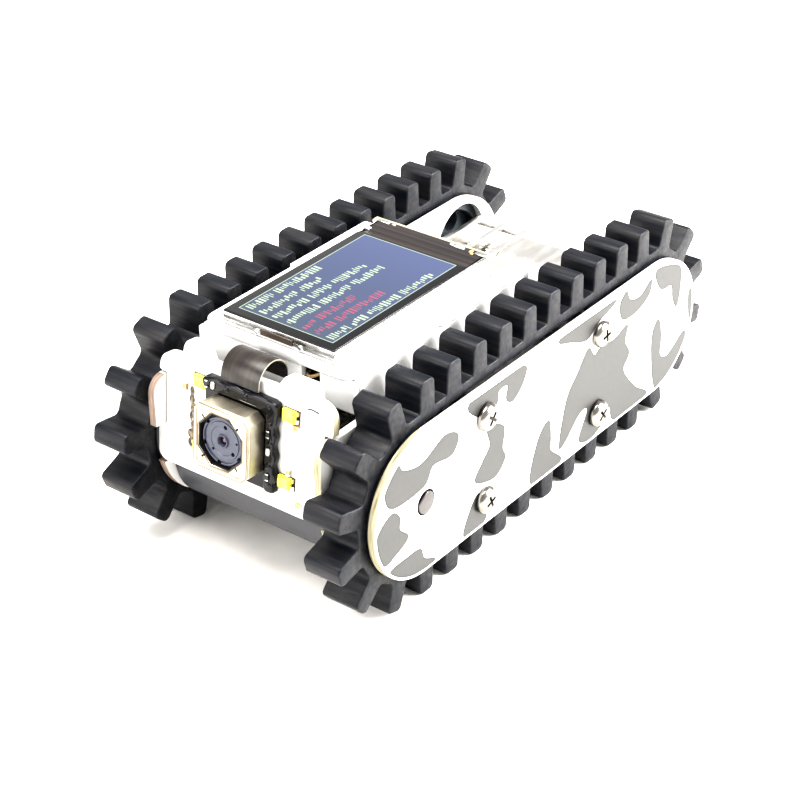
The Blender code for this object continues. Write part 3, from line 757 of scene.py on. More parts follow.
def inner_plate(name, side):
    """The plain inner plate, whose ear reaches through the front panel's notch."""
    low, high = box(f"{name}_inner_plate")
    ear_y, ear_top, corner = low[1], high[2], 2.2
    rear_face = PANEL_HALF + 0.2
    under_ear = panel_point(rear_face, -1.5)
    foot = panel_point(rear_face, -7.1)
    meets = 180 - math.degrees(math.asin((foot[1] - AXLE_Z) / PLATE_R))
    outline = arc((AXLE_Y, AXLE_Z), PLATE_R, -90, 90, 40)
    outline += arc((ear_y + corner, ear_top - corner), corner, 90, 180, 10)
    outline += [(ear_y, under_ear[1]), under_ear, foot]
    outline += arc((-AXLE_Y, AXLE_Z), PLATE_R, meets, 270, 24)
    opening = circle((DRIVE_END[name] * 26.9, 18.3), 5.6, 48)
    shape = shell([outline, opening], "X", low[0], high[0], 0.05, 2)
    paint_edges(shape, "X", lambda middle: middle.y < BARE_EDGE_Y)
    # The right plate's edge takes the shaded copy: painted shade on the far side
    piece(f"{name}_inner_board", shape, ["mask", "edge_x" if side > 0 else "shaded_inner_edge"], "white_board",
          stands_for=f"{name}_inner_plate", smooth=50)


# ---- screws, shafts and wheels ----

def cross_outline(arm, half):
    return [(half, half), (arm, half), (arm, -half), (half, -half), (half, -arm), (-half, -arm),
            (-half, -half), (-arm, -half), (-arm, half), (-half, half), (-half, arm), (half, arm)]


def tapered(outline, axis, stations, centre):
    """A closed shape through one outline, scaled at each (place along the axis, scale) station."""
    shape = bmesh.new()
    rings = []
    for along, scale in stations:
        rings.append([shape.verts.new(point_on(axis, centre[0] + u * scale, centre[1] + v * scale, along))
                      for u, v in outline])
    bridge(shape, rings)
    cap(shape, rings[:1])
    cap(shape, rings[-1:])
    return shape


def screw(name, side, corner, turn):
    """A pan-head screw with a cross recess, and the threaded end of its shank."""
    low, high = box(f"{name}_{corner}_screw")
    head_r = (high[1] - low[1]) / 2
    centre = ((low[1] + high[1]) / 2, (low[2] + high[2]) / 2)
    tip, top = (low[0], high[0]) if side > 0 else (high[0], low[0])
    head = top - side * HEAD_HEIGHT
    profile = [(0, tip), (0.75, tip), (THREAD_R, tip + side * 0.3)]
    for i in range(10):
        along = tip + side * (0.4 + i * THREAD_PITCH)
        profile += [(THREAD_R, along), (THREAD_ROOT_R, along + side * 0.5 * THREAD_PITCH)]
    profile += [(0.95, head), (head_r - 0.10, head), (head_r, head + side * 0.10)]
    for angle in range(0, 91, 10):
        a = math.radians(angle)
        profile.append((head_r * (0.42 + 0.58 * math.cos(a)), head + side * (0.30 + 0.75 * math.sin(a))))
    profile += [(0, top)]
    body = turned(profile, "X", (0, *centre), 48)
    cosine, sine = math.cos(turn), math.sin(turn)
    outline = [(u * cosine - v * sine, u * sine + v * cosine) for u, v in cross_outline(1.0, 0.2)]
    cutter = tapered(outline, "X", [(top + side * 0.2, 1.05), (top - side * 0.72, 0.45)], centre)
    piece(f"{name}_{corner}_screw_head", carved(body, [cutter]), "screw", "steel",
          stands_for=f"{name}_{corner}_screw", smooth=30)


def screws(name, side):
    for corner, turn in SCREW_TURNS.items():
        screw(name, side, corner, math.radians(turn))
        keep(f"{name}_{corner}_spacer", "steel", 0.08)


def drive_shaft(name, side):
    """The motor's shaft, with a flat along its outer part."""
    low, high = box(f"{name}_drive_shaft")
    radius = (high[2] - low[2]) / 2
    y = (low[1] + high[1]) / 2
    root, tip = (low[0], high[0]) if side > 0 else (high[0], low[0])
    flat_from = root + (tip - root) * 0.25
    flat = math.degrees(math.acos(1.12 / radius))
    facing = 125
    outline = arc((y, AXLE_Z), radius, facing + flat, facing + 360 - flat, 40)
    shape = shell([outline], "X", *sorted((flat_from, tip)), 0.12)
    round_part = shell([circle((y, AXLE_Z), radius, 40)], "X", *sorted((root, flat_from)), 0.05)
    merge(shape, round_part)
    piece(f"{name}_shaft", shape, "shaft", "steel", f"{name}_drive", f"{name}_drive_shaft")


def merge(shape, other):
    """Adds another bmesh to this one."""
    mesh = bpy.data.meshes.new("joined")
    other.to_mesh(mesh)
    other.free()
    shape.from_mesh(mesh)
    bpy.data.meshes.remove(mesh)
    return shape


def drum(name, label, body):
    """A spoked drum: a rim with a shallow crown, a web with six round holes and a hub."""
    node = f"{name}_{label}"
    low, high = box(node)
    y, rim_r = (low[1] + high[1]) / 2, (high[2] - low[2]) / 2
    inner, web, hub = rim_r - 1.5, 1.6, 3.2
    bore = 1.58 if label == "drive_drum" else 1.08
    a, b = low[0], high[0]
    profile = [(bore, a), (hub - 0.15, a), (hub, a + 0.15), (hub, a + web), (inner, a + web),
               (inner, a + 0.15), (inner + 0.15, a), (rim_r - 0.2, a), (rim_r, a + 0.2),
               (rim_r, b - 0.2), (rim_r - 0.2, b), (inner + 0.15, b), (inner, b - 0.15),
               (inner, b - web), (hub, b - web), (hub, b - 0.15), (hub - 0.15, b), (bore, b)]
    shape = turned(profile, "X", (0, y, AXLE_Z), 64)
    places = [(0, *place) for place in circle((y, AXLE_Z), 5.4, 6)]
    cutters = [rod("X", 1.5, a - 1, b + 1, place, 24) for place in places]
    piece(f"{name}_{label}_spoked", carved(shape, cutters), "drum", "black_plastic", body, node)


def keep(node, finish, width=0.1):
    """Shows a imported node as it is, with its edges rounded, in a finish."""
    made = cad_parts[node]
    made.data.materials.clear()
    made.data.materials.append(MATERIALS[finish])
    weld = made.modifiers.new("joined_corners", "WELD")
    weld.merge_threshold = WELD_REACH * MM
    bevelled(made, width)


# ---- motors ----

def gear(shape, centre, radius, low, high, teeth):
    """A small toothed wheel across X."""
    outline = []
    for i in range(teeth * 4):
        r = radius if i % 4 in (0, 1) else radius - 0.35
        angle = 2 * math.pi * i / (teeth * 4)
        outline.append((centre[0] + r * math.cos(angle), centre[1] + r * math.sin(angle)))
    return prism([outline], "X", *sorted((low, high)), shape)


def motor(name, side):
    """A geared motor: an open gear train between steel plates, and a flat-sided can with a pale end."""
    low, high = box(f"{name}_motor_gearbox")
    y, z = (low[1] + high[1]) / 2, (low[2] + high[2]) / 2
    outer = high[0] if side > 0 else low[0]
    length = high[0] - low[0]

    def span(start, end):
        return sorted((outer - side * start, outer - side * end))

    plates, gears, posts = bmesh.new(), bmesh.new(), bmesh.new()
    for start, end in ((0, 0.9), (4.2, 4.9), (length - 0.9, length)):
        merge(plates, shell([rounded_box(low[1:], high[1:], 0.6)], "X", *span(start, end), 0.06, 2))
    for across, up, radius, start, end, teeth in GEARS:
        gear(gears, (y + across, z + up), radius, *span(start, end), teeth)
    for place in rectangle((y - 4.2, z - 5.2), (y + 4.2, z + 5.2)):
        rod("X", 0.45, *span(0.5, length - 0.5), (0, *place), 16, posts)
    piece(f"{name}_gearbox_plates", plates, "steel", "steel", stands_for=f"{name}_motor_gearbox")
    piece(f"{name}_gears", gears, "gear", "steel")
    piece(f"{name}_gearbox_posts", posts, "steel", "steel")
    low, high = box(f"{name}_motor_can")
    near, far = (high[0], low[0]) if side > 0 else (low[0], high[0])
    outline = rounded_box(low[1:], high[1:], 3, 10)
    seam = near + (far - near) * 0.86
    can = shell([outline], "X", *sorted((near, seam)), 0.25)
    piece(f"{name}_can", can, "steel", "steel", stands_for=f"{name}_motor_can")
    end = shell([grown(outline, -0.35)], "X", *sorted((seam - side * 0.02, far)), 0.3)
    piece(f"{name}_can_end", end, "ceramic", "steel")


# ---- body boards ----

def board(name, loops, axis, low, high, slot, node, bare=None):
    """A printed board. Its cut edge is masked too, or bare where the test of a face's middle says so."""
    number = "XYZ".index(axis)
    shape = shell(loops, axis, low[number], high[number], 0.05, 2)
    if bare:
        paint_edges(shape, axis, bare)
    edge = f"edge_{axis.lower()}"
    return piece(name, shape, ["mask", edge], slot, stands_for=node, smooth=50)


def deck():
    low, high = box("top_board")
    wide, narrow, front, rear, top = high[0], high[0] - 0.6, low[1], high[1], high[2]
    outline = rounded([(-narrow, front, 2), (narrow, front, 2), (narrow, -11.4, 0.2), (wide, -11.0, 0.2),
                       (wide, rear, 0.3), (-wide, rear, 0.3), (-wide, -11.0, 0.2), (-narrow, -11.4, 0.2)])
    board("deck_board", [outline], "Z", low, high, "white_board", "top_board",
          lambda middle: middle.y > rear - 0.1)
    # The thin grey lines along each side of the display's foot are painted shadow of the display on the deck
    line, pads = bmesh.new(), bmesh.new()
    half = 0.06
    solder = [(0, top - 0.02), (0.42, top - 0.02), (0.40, top + 0.10), (0.20, top + 0.2), (0, top + 0.22)]
    for side in (-1, 1):
        x = side * 8.95
        add_box(line, (x - half, front + 1, top - half), (x + half, rear - 1, top + 0.008))
        for i in range(3):
            turned(solder, "Z", (side * 10.4, 1.2 - 2.54 * i, 0), 20, pads)
    piece("deck_shadow_lines", line, "printed_grey", "white_board")
    piece("deck_solder_points", pads, "solder", "steel")


def front_wall():
    low, high = box("front_wall")
    sill, left, right = 27.4, 7.0, 4.2
    top = high[2]
    outline = [(low[0], low[2]), (high[0], low[2]), (high[0], top), (left, top), (left, sill), (right, sill),
               (right, top), (low[0], top)]
    board("front_wall_board", [outline], "Y", low, high, "white_board", "front_wall")
    route = [(7.6, -26.6, 28.9), (7.0, -27.2, 28.6), (6.2, -27.7, 28.3), (5.4, -28.1, 27.9),
             (4.6, -27.9, 27.7), (4.0, -27.0, 27.6)]
    piece("window_wire", tube_along(route, 0.22), "wire", "ribbon")
    # A black block just behind the window: painted shade of the body's inside seen through it
    shade_block = block((3.2, -26.6, 26.2), (7.9, -26.2, 29.1))
    piece("window_shade_block", shade_block, "black", "black_plastic", bevel=0.05)


def rear_wall():
    low, high = box("rear_wall")
    board("rear_wall_board", [rectangle(low[::2], high[::2])], "Y", low, high, "white_board", "rear_wall",
          lambda middle: middle.z > high[2] - 0.1)


def side_walls():
    for name in SIDES:
        low, high = box(f"{name}_side_wall")
        sill, step = AXLE_Z + 6.6, -17.5
        front, rear, foot, top = low[1], high[1], low[2], high[2]
        outline = [(front, sill), (step, sill), (step, foot), (rear, foot), (rear, top), (front, top)]
        board(f"{name}_wall_board", [outline], "X", low, high, "white_board", f"{name}_side_wall")


def low_boards():
    for name, node, corner in (("base_panel", "base_board", 0.8), ("rear_shelf", "rear_board", 0.5)):
        low, high = box(node)
        board(name, [rounded_box(low, high, corner)], "Z", low, high, "white_board", node)
    keep("battery_pouch", "foil", 0.5)
    keep("controller_board", "black", 0.1)


def motor_covers():
    """The half-round covers under the motors, with a lip along each upper edge."""
    for label in ("front", "rear"):
        low, high = box(f"{label}_motor_cover")
        centre, radius = ((low[1] + high[1]) / 2, high[2]), (high[1] - low[1]) / 2
        outline = arc(centre, radius, 180, 360, 48) + arc(centre, radius - 0.9, 360, 180, 48)
        shape = shell([outline], "X", low[0], high[0], 0.12, 3)
        piece(f"{label}_cover", shape, "cover", "grey_cover", stands_for=f"{label}_motor_cover")


def tube_along(points, radius, steps=12, smooth_steps=6):
    """A round wire through the points."""
    points = [Vector(point) for point in points]
    path = []
    for i in range(len(points) - 1):
        near = (points[max(0, min(len(points) - 1, i + k))] for k in (-1, 0, 1, 2))
        path += spline(*near, smooth_steps)
    path.append(points[-1])
    shape = bmesh.new()
    rings = []
    for i, place in enumerate(path):
        along = (path[min(i + 1, len(path) - 1)] - path[max(i - 1, 0)]).normalized()
        across = along.cross(Vector((0, 0, 1))).normalized()
        other = along.cross(across)
        ring = [place + across * u + other * v for u, v in circle((0, 0), radius, steps)]
        rings.append([shape.verts.new(point) for point in ring])
    bridge(shape, rings)
    shape.faces.new(rings[0])
    shape.faces.new(rings[-1])
    return shape


# ---- rear sockets ----

def usb_socket():
    low, high = box("usb_socket")
    outline = rounded_box(low[::2], high[::2], 1.1, 8)
    mouth = rounded_box((low[0] + 0.35, low[2] + 0.35), (high[0] - 0.35, high[2] - 0.35), 0.85, 8)
    shape = shell([outline, mouth], "Y", low[1], high[1], 0.08, 2)
    piece("usb_shell", shape, "frame", "steel", stands_for="usb_socket")
    middle = (low[2] + high[2]) / 2
    back = shell([grown(mouth, -0.03)], "Y", low[1] + 0.2, low[1] + 1.2, 0.05, 2)
    tongue = rounded_box((-3.1, middle - 0.35), (3.1, middle + 0.35), 0.25)
    merge(back, shell([tongue], "Y", low[1] + 1.1, high[1] - 0.9, 0.08, 2))
    piece("usb_tongue", back, "black", "black_plastic")
    contacts = bmesh.new()
    for i in range(10):
        x = (i - 4.5) * 0.55
        for z in (middle - 0.37, middle + 0.35):
            add_box(contacts, (x - 0.13, low[1] + 1.4, z), (x + 0.13, high[1] - 1.4, z + 0.02))
    piece("usb_contacts", contacts, "gold", "brass")


def switch():
    """The slide switch: a folded metal case with feet, and the knob that moves in its slot."""
    low, high = box("switch_body")
    x, y = (low[0] + high[0]) / 2, (low[1] + high[1]) / 2
    slot_hole = rounded_box((x - 1.9, y - 0.6), (x + 1.9, y + 0.6), 0.1, 3)
    shape = shell([rounded_box(low, high, 0.25), slot_hole], "Z", low[2], high[2], 0.12)
    piece("switch_case", shape, "frame", "steel", stands_for="switch_body")
    feet = bmesh.new()
    for foot_x in (x - 1.6, x, x + 1.6):
        for foot_y, half in ((high[1] + 0.4, 0.5), (low[1] - 0.25, 0.35)):
            box_round(feet, (foot_x, foot_y, low[2] + 0.12), (0.25, half, 0.1))
    piece("switch_feet", feet, "solder", "steel")
    low, high = box("switch_slider")
    knob = shell([rounded_box(low, high, 0.15, 3)], "Z", low[2], high[2], 0.15)
    piece("switch_knob", knob, "black", "black_plastic", "power_slider", "switch_slider")


def rear_parts():
    """Small passives on the rear board."""
    top = box("rear_board")[1][2]
    dice = random.Random(4)
    bodies, ends = bmesh.new(), bmesh.new()
    for x in (-10.6, -9.2, -7.8, -6.4):
        for y in (9.0, 11.4, 13.8, 15.8):
            middle = x + dice.uniform(-0.2, 0.2)
            box_round(bodies, (middle, y, top + 0.21), (0.28, 0.5, 0.21))
            for end_y in (y - 0.5, y + 0.5):
                box_round(ends, (middle, end_y, top + 0.22), (0.30, 0.14, 0.22))
    piece("rear_passives", bodies, "wire", "printed_board", bevel=0.03)
    piece("rear_passive_ends", ends, "solder", "steel", bevel=0.03)


# ---- display ----

def display():
    """The display: a sheet-metal tray, a black glass front, a lit area with bar gauges, and the rear flex."""
    low, high = box("display_frame")
    outline = rounded_box(low, high, 0.35)
    tray = shell([outline], "Z", low[2], high[2], 0.14)
    merge(tray, shell([outline, grown(outline, -0.12)], "Z", high[2] - 0.2, high[2] + 0.72, 0.04, 2))
    piece("display_tray", tray, "frame", "steel", stands_for="display_frame")
    glass_low, glass_high = box("display_glass")
    top = glass_high[2]
    glass = shell([rounded_box(glass_low, glass_high, 0.25)], "Z", glass_low[2], top, 0.06)
    piece("display_cover", glass, "bezel", "display_glass", stands_for="display_glass")
    active_low, active_high = (-7.43, -26.53), (7.43, -1.62)
    lit_area = block((*active_low, top - 0.004), (*active_high, top + 0.004))
    piece("display_lit_area", lit_area, "screen", "display_glass")
    screen_lines(active_low, active_high, top)
    tray_parts(low, high)
    display_flex()


def screen_lines(low, high, top):
    """A thin pale border and seven rows of segmented gauges, two of them red."""
    white, red = bmesh.new(), bmesh.new()
    floor, lift = top + 0.002, top + 0.008
    line, inset = 0.11, 0.05
    a, b = Vector(low) + Vector((inset, inset)), Vector(high) - Vector((inset, inset))
    for corner_a, corner_b in (((a.x, a.y), (b.x, a.y + line)), ((a.x, b.y - line), (b.x, b.y)),
                               ((a.x, a.y), (a.x + line, b.y)), ((b.x - line, a.y), (b.x, b.y))):
        add_box(white, (*corner_a, floor), (*corner_b, lift))
    pitch = (b.x - a.x) / len(GAUGE_ROWS)
    dice = random.Random(7)
    for number, (groups, is_red) in enumerate(GAUGE_ROWS):
        shape = red if is_red else white
        middle = a.x + pitch * (number + 0.5)
        y = a.y + 0.7
        for group in groups:
            end = y + group
            while end - y > ROUNDING:
                wide = dice.choice((0.16, 0.24, 0.34))
                left, right = dice.choice(GAUGE_ENDS)
                add_box(shape, (middle + left, y, floor), (middle + right, y + wide, lift))
                y += wide + 0.24
            y += 0.55
    piece("display_gauges", white, "pixel_white", "display_glass")
    piece("display_red_gauges", red, "pixel_red", "display_glass")


def tray_parts(low, high):
    """The two solder points, the tape and the folded tabs of the tray."""
    front, top = low[1], high[2]
    spots, tabs = bmesh.new(), bmesh.new()
    solder = [(0, front - 0.28), (0.3, front - 0.2), (0.48, front + 0.05), (0, front + 0.06)]
    for x in (-3.2, 3.6):
        turned(solder, "Y", (x, 0, top - 0.45), 20, spots)
    piece("tray_solder", spots, "solder", "steel")
    tape = block((-2.6, front - 0.10, top - 0.62), (2.4, front + 0.05, top + 0.20))
    piece("tray_front_tape", tape, "tape", "ribbon", bevel=0.04)
    for x0, x1, y in ((7.1, 8.75, 2.45), (-8.75, -6.9, 2.75)):
        add_box(tabs, (x0, y, top - 0.9), (x1, high[1] + 0.30, top + 0.82))
    piece("tray_corner_tabs", tabs, "frame", "steel", bevel=0.1)


def display_flex():
    """The dark flex behind the glass, folded over the tray's rear edge, with a few parts on it."""
    low, high = box("display_flex")
    rear, top = high[1] + 0.45, high[2] + 0.32
    steps, folds = 48, 4
    shape = bmesh.new()
    tops = []
    for i in range(steps + 1):
        share = i / steps
        y = low[1] + (rear - low[1]) * share
        wave = 0.5 + 0.5 * math.sin(2 * math.pi * folds * share)
        z = high[2] + (top - high[2] - 0.1) * min(1, share * 1.6) + 0.1 * wave * (1 - share)
        tops.append([shape.verts.new((x, y, z)) for x in (low[0] - 0.2, high[0] + 0.2)])
    for near, far in zip(tops, tops[1:]):
        shape.faces.new((near[0], near[1], far[1], far[0]))
    edges = [edge for edge in shape.edges if edge.is_boundary]
    raised = bmesh.ops.extrude_edge_only(shape, edges=edges)
    for item in raised["geom"]:
        if isinstance(item, bmesh.types.BMVert):
            item.co.z = low[2]
    bottom = [edge for edge in shape.edges if edge.is_boundary]
    bmesh.ops.triangle_fill(shape, use_beauty=True, use_dissolve=False, edges=bottom)
    piece("display_flex_folds", shape, "flex", "ribbon", stands_for="display_flex", smooth=60)
    for finish, places in FLEX_PARTS.items():
        made = bmesh.new()
        for x, y, half_x, half_y in places:
            add_box(made, (x - half_x, y - half_y, low[2] + 0.1), (x + half_x, y + half_y, top + 0.01))
        piece(f"flex_parts_{finish}", made, finish, "ribbon", bevel=0.06)


# ---- front panel and camera ----

PANEL_TILT = Matrix.Rotation(-PANEL_LEAN, 4, "X")
PANEL = Matrix.Translation(PANEL_PLACE) @ PANEL_TILT
FACE = -PANEL_HALF - 0.1
BOARD_FRONT = FACE - 0.8


def panel_point(y, z):
    """A place in the panel's own frame, as (Y, Z) of the body."""
    place = PANEL @ Vector((0, y, z))
    return (place.y, place.z)


def on_panel(name, shape, materials, slot, **more):
    place = Matrix.Translation(Vector(PANEL_PLACE) * MM) @ PANEL_TILT
    return piece(name, shape, materials, slot, place=place, **more)


def panel_box(shape, x, z, half_x, half_z, front, back):
    """A box on the panel round a place, between two depths."""
    add_box(shape, (x - half_x, front, z - half_z), (x + half_x, back, z + half_z))


def front_panel():
    """The leaning panel: two uneven lobes, a dip for the ribbon and a notch for each ear."""
    left = [(5.0, 9.1, 0.3), (6.5, 11.25, 1.6), (11.3, 11.25, 1.0), (11.3, 9.4, 0.4), (13.7, 9.1, 2.2)]
    right = [(-13.2, 8.1, 2.2), (-9.8, 8.3, 0.5), (-9.6, 11.0, 1.9), (-6.2, 11.0, 1.4), (-5.0, 9.0, 0.3)]
    foot = [(13.7, 5.3, 0.4), (12.4, 5.3, 0.1), (12.4, -1.6, 0.1), (13.7, -1.6, 0.4), (13.7, -6.9, 1.4)]
    outline = rounded(left + foot + [(-x, z, radius) for x, z, radius in reversed(foot)] + right, 8)
    shape = shell([outline], "Y", -PANEL_HALF, PANEL_HALF, 0.08, 3)
    paint_edges(shape, "Y", lambda middle: middle.z < 8)
    on_panel("front_panel_board", shape, ["mask", "edge_y"], "white_board", stands_for="front_panel",
             smooth=50)


def camera_board():
    """The black board behind the can, with small parts sunk in glossy glue beside and above it."""
    shape = shell([rounded_box((-5.3, -4.4), (5.6, 7.7), 0.4)], "Y", BOARD_FRONT, FACE, 0.08)
    on_panel("camera_board_black", shape, "glue", "black_plastic", stands_for="camera_board")
    bodies = {"chip": bmesh.new(), "ceramic": bmesh.new()}
    ends = bmesh.new()
    for x, z, finish in CAMERA_PARTS:
        panel_box(bodies[finish], x, z, 0.26, 0.36, BOARD_FRONT - 0.62, BOARD_FRONT + 0.02)
        for end_z in (z - 0.40, z + 0.40):
            panel_box(ends, x, end_z, 0.22, 0.08, BOARD_FRONT - 0.64, BOARD_FRONT + 0.02)
    for finish, shape in bodies.items():
        on_panel(f"camera_parts_{finish}", shape, finish, "black_plastic", bevel=0.05)
    on_panel("camera_part_ends", ends, "solder", "steel", bevel=0.03)
    glue = shell([smooth_loop(GLUE_EDGE, 4)], "Y", BOARD_FRONT - 0.42, FACE + 0.05, 0.34, 4)
    on_panel("camera_glue", glue, "glue", "black_plastic")
    drops = bmesh.new()
    dice = random.Random(11)
    for x, z in GLUE_DROPS:
        drop(drops, (x, BOARD_FRONT - 0.30, z), 0.34 + 0.22 * dice.random(), 0.7)
    on_panel("camera_glue_drops", drops, "glue", "black_plastic")
    y = BOARD_FRONT - 0.35
    seam = tube_along([(-3.9, y, 6.35), (-1.0, y, 6.42), (1.8, y, 6.36), (4.3, y, 6.45)], 0.07)
    on_panel("camera_seam", seam, "solder", "steel")


def drop(shape, centre, radius, flat):
    """A flattened drop that stands on a face across Y."""
    bends = [math.radians(angle) for angle in range(15, 91, 15)]
    profile = [(0, -radius * flat)]
    profile += [(radius * math.sin(a), -radius * flat * math.cos(a)) for a in bends]
    turned(profile + [(radius * 0.98, 0.03), (0, 0.03)], "Y", centre, 20, shape)


def camera_can():
    """The can: cut corners, a raised lip, a stepped eight-sided opening and four notches round it."""
    front, back, half, cut, c = -4.75, BOARD_FRONT - 0.1, 4.25, 0.9, CAN_CENTRE_Z
    side, low, high = half - cut, c - half, c + half
    outline = [(-side, low), (side, low), (half, low + cut), (half, high - cut),
               (side, high), (-side, high), (-half, high - cut), (-half, low + cut)]
    opening_r = 3.42 / math.cos(math.pi / 8)
    opening = arc((0, c), opening_r, 22.5, 337.5, 7)
    skin = shell([outline, opening], "Y", front, back, 0.16)
    cutters = []
    for turn in (45, 135, 225, 315):
        notch = block((-0.13, front - 0.2, opening_r - 0.4), (0.13, front + 0.7, opening_r + 0.30))
        cutters.append(swung(notch, turn, c))
    on_panel("camera_can_shell", carved(skin, cutters), "can", "brass", stands_for="camera_can", smooth=40)
    lip = shell([grown(outline, 0.07), grown(outline, -0.30)], "Y", front + 0.42, front + 0.62, 0.04, 2)
    merge(lip, shell([grown(outline, -0.42), grown(outline, -0.54)], "Y", front - 0.05, front + 0.1, 0.02, 2))
    on_panel("camera_can_lip", lip, "can", "brass")
    # Dark lines along the can's edge, inside its lip and round the opening: painted shade of the grooves
    # there
    groove_shades, ledge = bmesh.new(), bmesh.new()
    lines = [[grown(outline, -0.02), grown(outline, -0.13)],
             [grown(outline, -0.52), grown(outline, -0.63)],
             [scaled(opening, 1.042), scaled(opening, 1.012)]]
    for loops in lines:
        prism(loops, "Y", front - 0.012, front + 0.05, groove_shades)
    on_panel("camera_can_groove_shades", groove_shades, "can_seam", "brass")
    seat = scaled(opening, 0.995)
    prism([seat, circle((0, c), 3.24, 40)], "Y", front + 0.75, front + 1.4, ledge)
    prism([seat, scaled(opening, 0.955)], "Y", front + 0.14, front + 0.73, ledge)
    on_panel("camera_can_ledge", ledge, "black", "black_plastic")


def lens():
    """The lens barrel: a raised rim, a ring with ports and slots, and a small cone round a deep glass."""
    centre, front, back = (0, 0, CAN_CENTRE_Z), -4.2, BOARD_FRONT - 0.4
    profile = [(radius, front + depth) for radius, depth in LENS_PROFILE] + [(2.98, back), (0.55, back)]
    cutters = []
    for angle, radius, size in ((80, 1.9, 0.28), (322, 2.05, 0.28), (8, 2.2, 0.17), (225, 2.1, 0.2)):
        a = math.radians(angle)
        place = (radius * math.cos(a), 0, CAN_CENTRE_Z + radius * math.sin(a))
        cutters.append(rod("Y", size, front - 0.2, front + 0.5, place, 16))
    for angle in (62, 140, 200, 262, 330):
        slot = block((-0.30, front - 0.3, 2.80), (0.30, front + 0.4, 3.4))
        cutters.append(swung(slot, 90 - angle, CAN_CENTRE_Z))
    body = carved(turned(profile, "Y", centre, 64), cutters)
    on_panel("lens_barrel_rings", body, "lens_ring", "black_plastic", body="lens", stands_for="lens_barrel",
             smooth=30)
    dome = [(0, front + 0.16)]
    dome += [(r, front + 0.16 + 0.55 * (r / 0.56) ** 2) for r in (0.15, 0.3, 0.42, 0.56)]
    glass = turned(dome + [(0.56, front + 0.78), (0, front + 0.78)], "Y", centre, 32)
    on_panel("lens_glass_dome", glass, "lens_eye", "display_glass", body="lens")


def leds():
    """Four small light packages: a yellow body and face, pads at the outer end, and a dark footprint."""
    for label, (x, z) in LED_PLACES.items():
        out = 1 if x > 0 else -1
        body, pads, gold, dark = (bmesh.new() for _ in range(4))
        panel_box(body, x - 0.025, z, 0.975, 0.80, FACE - 0.5, FACE)
        face = rounded_box((x - 0.86, z - 0.68), (x + 0.82, z + 0.68), 0.3)
        panel_box(pads, x + out * 1.09, z - 0.52, 0.19, 0.24, FACE - 0.34, FACE + 0.02)
        panel_box(gold, x + out * 1.09, z + 0.52, 0.19, 0.24, FACE - 0.34, FACE + 0.02)
        panel_box(dark, x + out * 0.15, z - 0.03, 1.21, 0.89, FACE + 0.04, FACE + 0.09)
        on_panel(f"{label}_led_body", body, "phosphor", "led", bevel=0.08, stands_for=f"{label}_led")
        glow = shell([face], "Y", FACE - 0.72, FACE - 0.3, 0.14)
        on_panel(f"{label}_led_phosphor", glow, "phosphor", "led")
        on_panel(f"{label}_led_pads", pads, "ceramic", "brass", bevel=0.04)
        on_panel(f"{label}_led_gold", gold, "gold", "brass", bevel=0.04)
        on_panel(f"{label}_led_footprint", dark, "chip", "printed_board")


def ribbon():
    """The camera's flat cable in its loop, with a paler cut edge on each side."""
    half, thick, loop_r = 2.95, 0.20, 2.65
    foot, middle = 7.9, 8.5
    near = BOARD_FRONT + 0.15
    far = near + 2 * loop_r
    path = [(near, foot), (near, foot + 0.3)]
    path += arc((near + loop_r, middle), loop_r, 180, 0, 40)
    path += [(far, foot + 0.3), (far, foot)]
    sides = []
    for offset in (thick / 2, -thick / 2):
        line = []
        for i, (u, v) in enumerate(path):
            before, after = path[max(0, i - 1)], path[min(len(path) - 1, i + 1)]
            along = Vector((after[0] - before[0], after[1] - before[1])).normalized()
            line.append((u - along.y * offset, v + along.x * offset))
        sides.append(line)
    shape = shell([sides[0] + sides[1][::-1]], "X", -half, half, 0.04, 2)
    paint(shape, 1, lambda normal, middle: abs(normal.x) > 0.9)
    on_panel("ribbon_loop", shape, ["ribbon", "flex_edge"], "ribbon", stands_for="camera_ribbon", smooth=40)


def panel_marks():
    """Small parts, a pin and dried flux on the front panel."""
    marks, bodies, ends = (bmesh.new() for _ in range(3))
    dice = random.Random(3)
    for z in (4.1, 3.0, 1.9, 0.7, -0.5, -1.7, -2.9):
        width = dice.uniform(0.25, 0.75)
        x = -7.9 - dice.uniform(0, 0.5)
        loop = smooth_loop([(x + width * u, z + 0.7 * v) for u, v in circle((0, 0), 1, 6)], 4)
        prism([loop], "Y", -PANEL_HALF - 0.03, -PANEL_HALF + 0.01, marks)
    on_panel("panel_flux", marks, "flux", "printed_board")
    for x, z, wide, tall in PANEL_PASSIVES:
        panel_box(bodies, x, z, wide, tall, FACE - 0.3, FACE + 0.06)
        for end in (-1, 1):
            if wide > tall:
                spot = (x + end * wide, z, 0.14, tall + 0.02)
            else:
                spot = (x, z + end * tall, wide + 0.02, 0.14)
            panel_box(ends, *spot, FACE - 0.32, FACE + 0.06)
    on_panel("panel_passives", bodies, "wire", "printed_board", bevel=0.04)
    on_panel("panel_passive_ends", ends, "solder", "steel", bevel=0.03)
    pin = tube_along([(9.9, -0.75, 8.0), (10.6, -0.8, 8.15), (11.6, -0.75, 8.0)], 0.09)
    on_panel("panel_pin", pin, "chip", "black_plastic")


# ---- studio ----

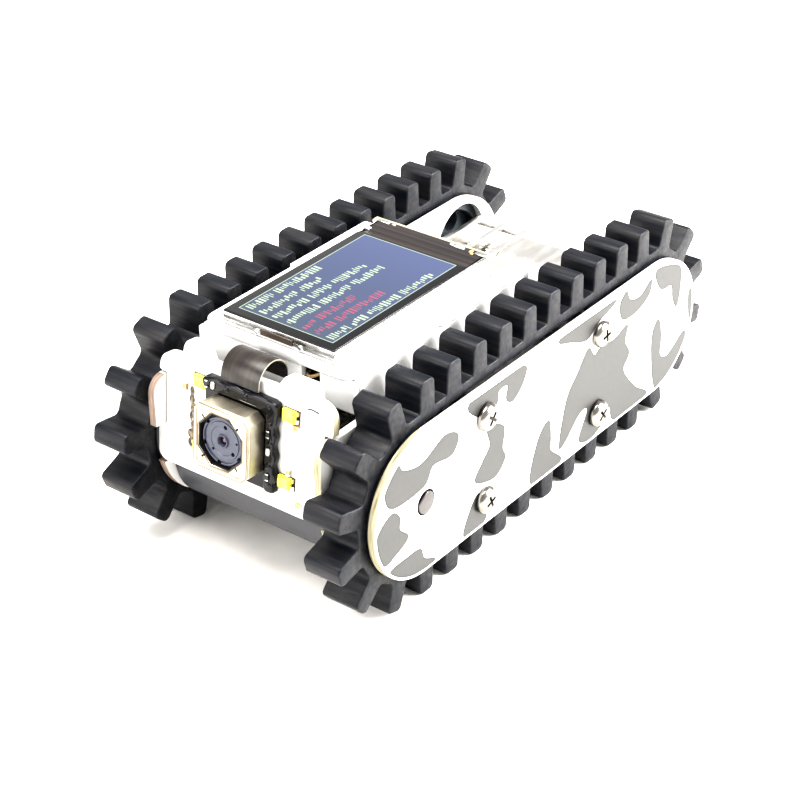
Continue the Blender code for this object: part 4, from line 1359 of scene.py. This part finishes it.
def studio():
    """A large pale floor, an even pale sky and three soft lights: a key, one overhead and one in front."""
    mesh = bpy.data.meshes.new("floor")
    block((-3, -3, -0.02), (3, 3, 0)).to_mesh(mesh)
    mesh.materials.append(MATERIALS["floor"])
    made = bpy.data.objects.new("floor", mesh)
    bpy.context.scene.collection.objects.link(made)
    sky = bpy.data.worlds.new("pale_sky")
    sky.use_nodes = True
    background = sky.node_tree.nodes["Background"]
    background.inputs["Color"].default_value = (1.0, 0.985, 0.965, 1)
    background.inputs["Strength"].default_value = SKY_STRENGTH
    bpy.context.scene.world = sky
    for name, place, size, power, colour in SOFTBOXES:
        lamp = bpy.data.lights.new(name, "AREA")
        lamp.shape = "RECTANGLE"
        lamp.size, lamp.size_y = size
        lamp.energy = power
        lamp.color = colour
        softbox = bpy.data.objects.new(name, lamp)
        softbox.location = place
        softbox.rotation_euler = (Vector(place) - Vector((0, 0, 0.015))).to_track_quat("Z", "Y").to_euler()
        bpy.context.scene.collection.objects.link(softbox)
    view = bpy.context.scene.view_settings
    view.view_transform = "Standard"
    view.look = "High Contrast"


def camera():
    azimuth, elevation = math.radians(CAMERA_AZIMUTH), math.radians(CAMERA_ELEVATION)
    level = math.cos(elevation)
    back = Vector((math.sin(azimuth) * level, -math.cos(azimuth) * level, math.sin(elevation)))
    right = Vector((math.cos(azimuth), math.sin(azimuth), 0))
    up = back.cross(right)
    roll = math.radians(CAMERA_ROLL)
    right, up = right * math.cos(roll) + up * math.sin(roll), up * math.cos(roll) - right * math.sin(roll)
    lens_data = bpy.data.cameras.new("camera")
    lens_data.lens, lens_data.sensor_width = CAMERA_LENS, CAMERA_SENSOR
    lens_data.clip_start, lens_data.clip_end = 0.01, 20
    made = bpy.data.objects.new("camera", lens_data)
    made.matrix_world = Matrix.Translation(CAMERA_PLACE) @ Matrix((right, up, back)).transposed().to_4x4()
    bpy.context.scene.collection.objects.link(made)
    bpy.context.scene.camera = made


def main():
    for name, side in SIDES.items():
        track_belt(name)
        outer_plate(name, side)
        inner_plate(name, side)
        screws(name, side)
        drive_shaft(name, side)
        drum(name, "drive_drum", f"{name}_drive")
        drum(name, "idler_wheel", f"{name}_idler")
        keep(f"{name}_idler_axle", "steel")
        motor(name, side)
    deck()
    front_wall()
    rear_wall()
    side_walls()
    low_boards()
    motor_covers()
    usb_socket()
    switch()
    rear_parts()
    display()
    front_panel()
    panel_marks()
    camera_board()
    camera_can()
    lens()
    leds()
    ribbon()
    studio()
    camera()


main()
